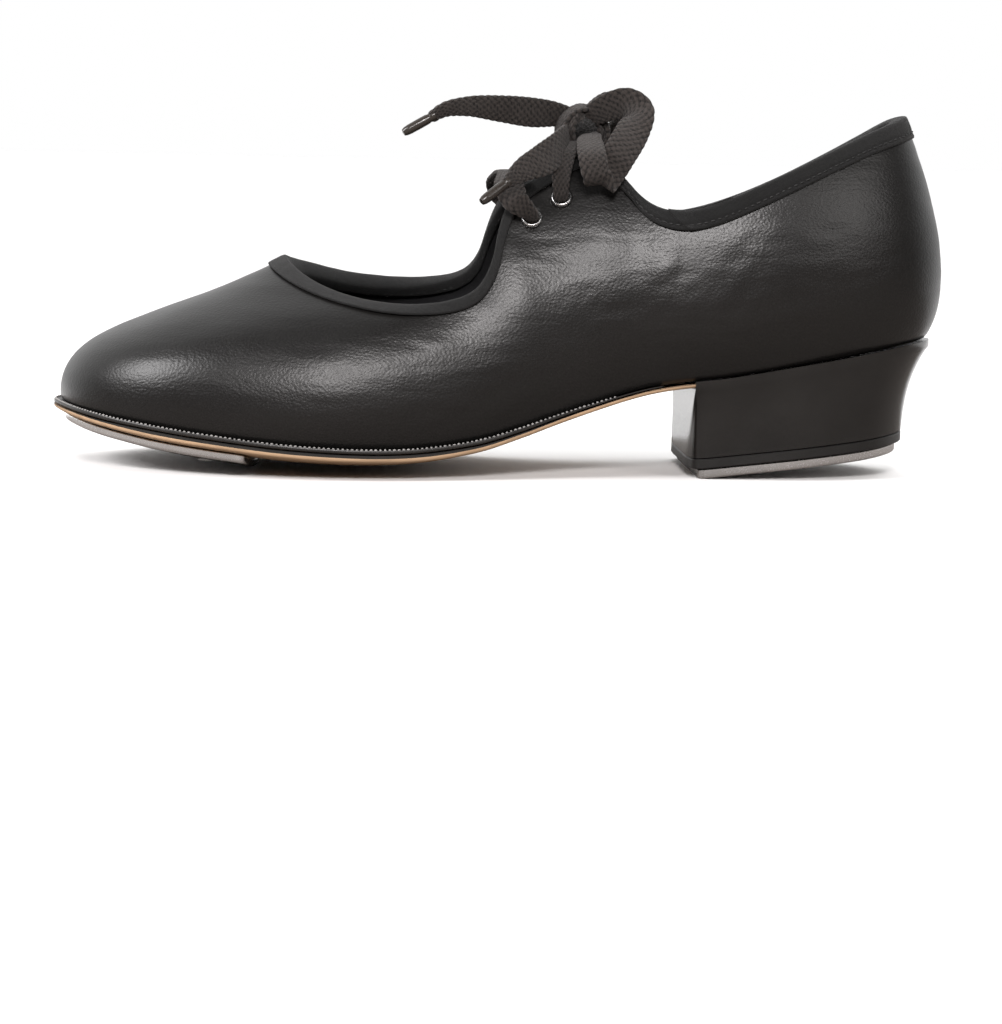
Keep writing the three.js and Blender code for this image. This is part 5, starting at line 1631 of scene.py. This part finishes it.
class SHOE_OT_heel(bpy.types.Operator):
    """Covered heel block and its top lift"""

    bl_idname = "tap_shoe.heel"
    bl_label = "Heel"

    def execute(self, context):
        colours = context.scene.tap_shoe_colours
        cover = moulded_finish("heel_cover", tuple(colours.heel), 0.2, 0.006)
        rubber = moulded_finish("lift_rubber", shade(tuple(colours.heel), 0.9), 0.42, 0.04, 2.5)
        heel = add_piece("heel_cover", heel_mesh(), 3 * [cover], ["heel_block"])
        soften_edges(heel, 0.45)
        lift = add_piece("top_lift_rubber", top_lift_mesh(), 3 * [rubber], ["top_lift"])
        soften_edges(lift, 0.2)
        return {"FINISHED"}


class SHOE_OT_taps(bpy.types.Operator):
    """Toe and heel taps with their screws"""

    bl_idname = "tap_shoe.taps"
    bl_label = "Taps"

    def execute(self, context):
        metal = metal_finish("tap_metal", tuple(context.scene.tap_shoe_colours.metal), 0.2)
        steel = metal_finish("screw_steel", (0.62, 0.62, 0.63), 0.3)
        for name, mesh in (("toe_tap", toe_tap_mesh()), ("heel_tap", heel_tap_mesh())):
            add_piece(name + "_plate", mesh, 3 * [metal], [name])
        toe_seats, heel_seats = [], []
        for x, y in TOE_SCREW_PLACES:
            z = float(outsole_bottom(x, y)) - TAP_GAP - TOE_TAP_THICKNESS
            toe_seats.append(((x, y, z), (0, 0, -1)))
        for x, y in HEEL_SCREW_PLACES:
            seat = (HEEL_BREAST + x, y, tap_face(HEEL_BREAST + x))
            heel_seats.append((seat, unit((HEEL_SLOPE, 0, -1))))
        for name, seats, long in (
            ("toe_tap_screw", toe_seats, TOE_SCREW_LENGTH),
            ("heel_tap_screw", heel_seats, HEEL_SCREW_LENGTH),
        ):
            screw = screw_mesh(name, TAP_SCREW_HEAD, TAP_SCREW_SHANK, long)
            mesh = set_on_seats(name, screw, seats, steel)
            add_piece(name + "s", mesh, [steel], [f"{name}_{k}" for k in (1, 2, 3)])
        return {"FINISHED"}


SETTINGS = {
    "tap_shoe_sizes": TapShoeSizes,
    "tap_shoe_colours": TapShoeColours,
    "tap_shoe_view": TapShoeView,
}
OPERATORS = (
    SHOE_OT_stage,
    SHOE_OT_lace,
    SHOE_OT_upper,
    SHOE_OT_inside,
    SHOE_OT_bindings,
    SHOE_OT_eyelets,
    SHOE_OT_sole,
    SHOE_OT_heel,
    SHOE_OT_taps,
)


class SHOE_PT_panel(bpy.types.Panel):
    """The shoe's settings and pieces."""

    bl_idname = "SHOE_PT_panel"
    bl_label = "Tap Shoe"
    bl_space_type = "VIEW_3D"
    bl_region_type = "UI"
    bl_category = "Tap Shoe"

    def draw(self, context):
        for group in SETTINGS:
            settings = getattr(context.scene, group)
            box = self.layout.box()
            for name in settings.__annotations__:
                box.prop(settings, name)
        for operator in OPERATORS:
            self.layout.operator(operator.bl_idname)


def register():
    for cls in (*SETTINGS.values(), *OPERATORS, SHOE_PT_panel):
        bpy.utils.register_class(cls)
    for name, group in SETTINGS.items():
        setattr(bpy.types.Scene, name, bpy.props.PointerProperty(type=group))


def unregister():
    for name in SETTINGS:
        delattr(bpy.types.Scene, name)
    for cls in reversed((*SETTINGS.values(), *OPERATORS, SHOE_PT_panel)):
        bpy.utils.unregister_class(cls)


def main():
    register()
    for step in ("stage", "lace", "upper", "inside", "bindings", "eyelets", "sole", "heel", "taps"):
        getattr(bpy.ops.tap_shoe, step)()
    bpy.context.view_layer.update()


if __name__ == "__main__":
    main()
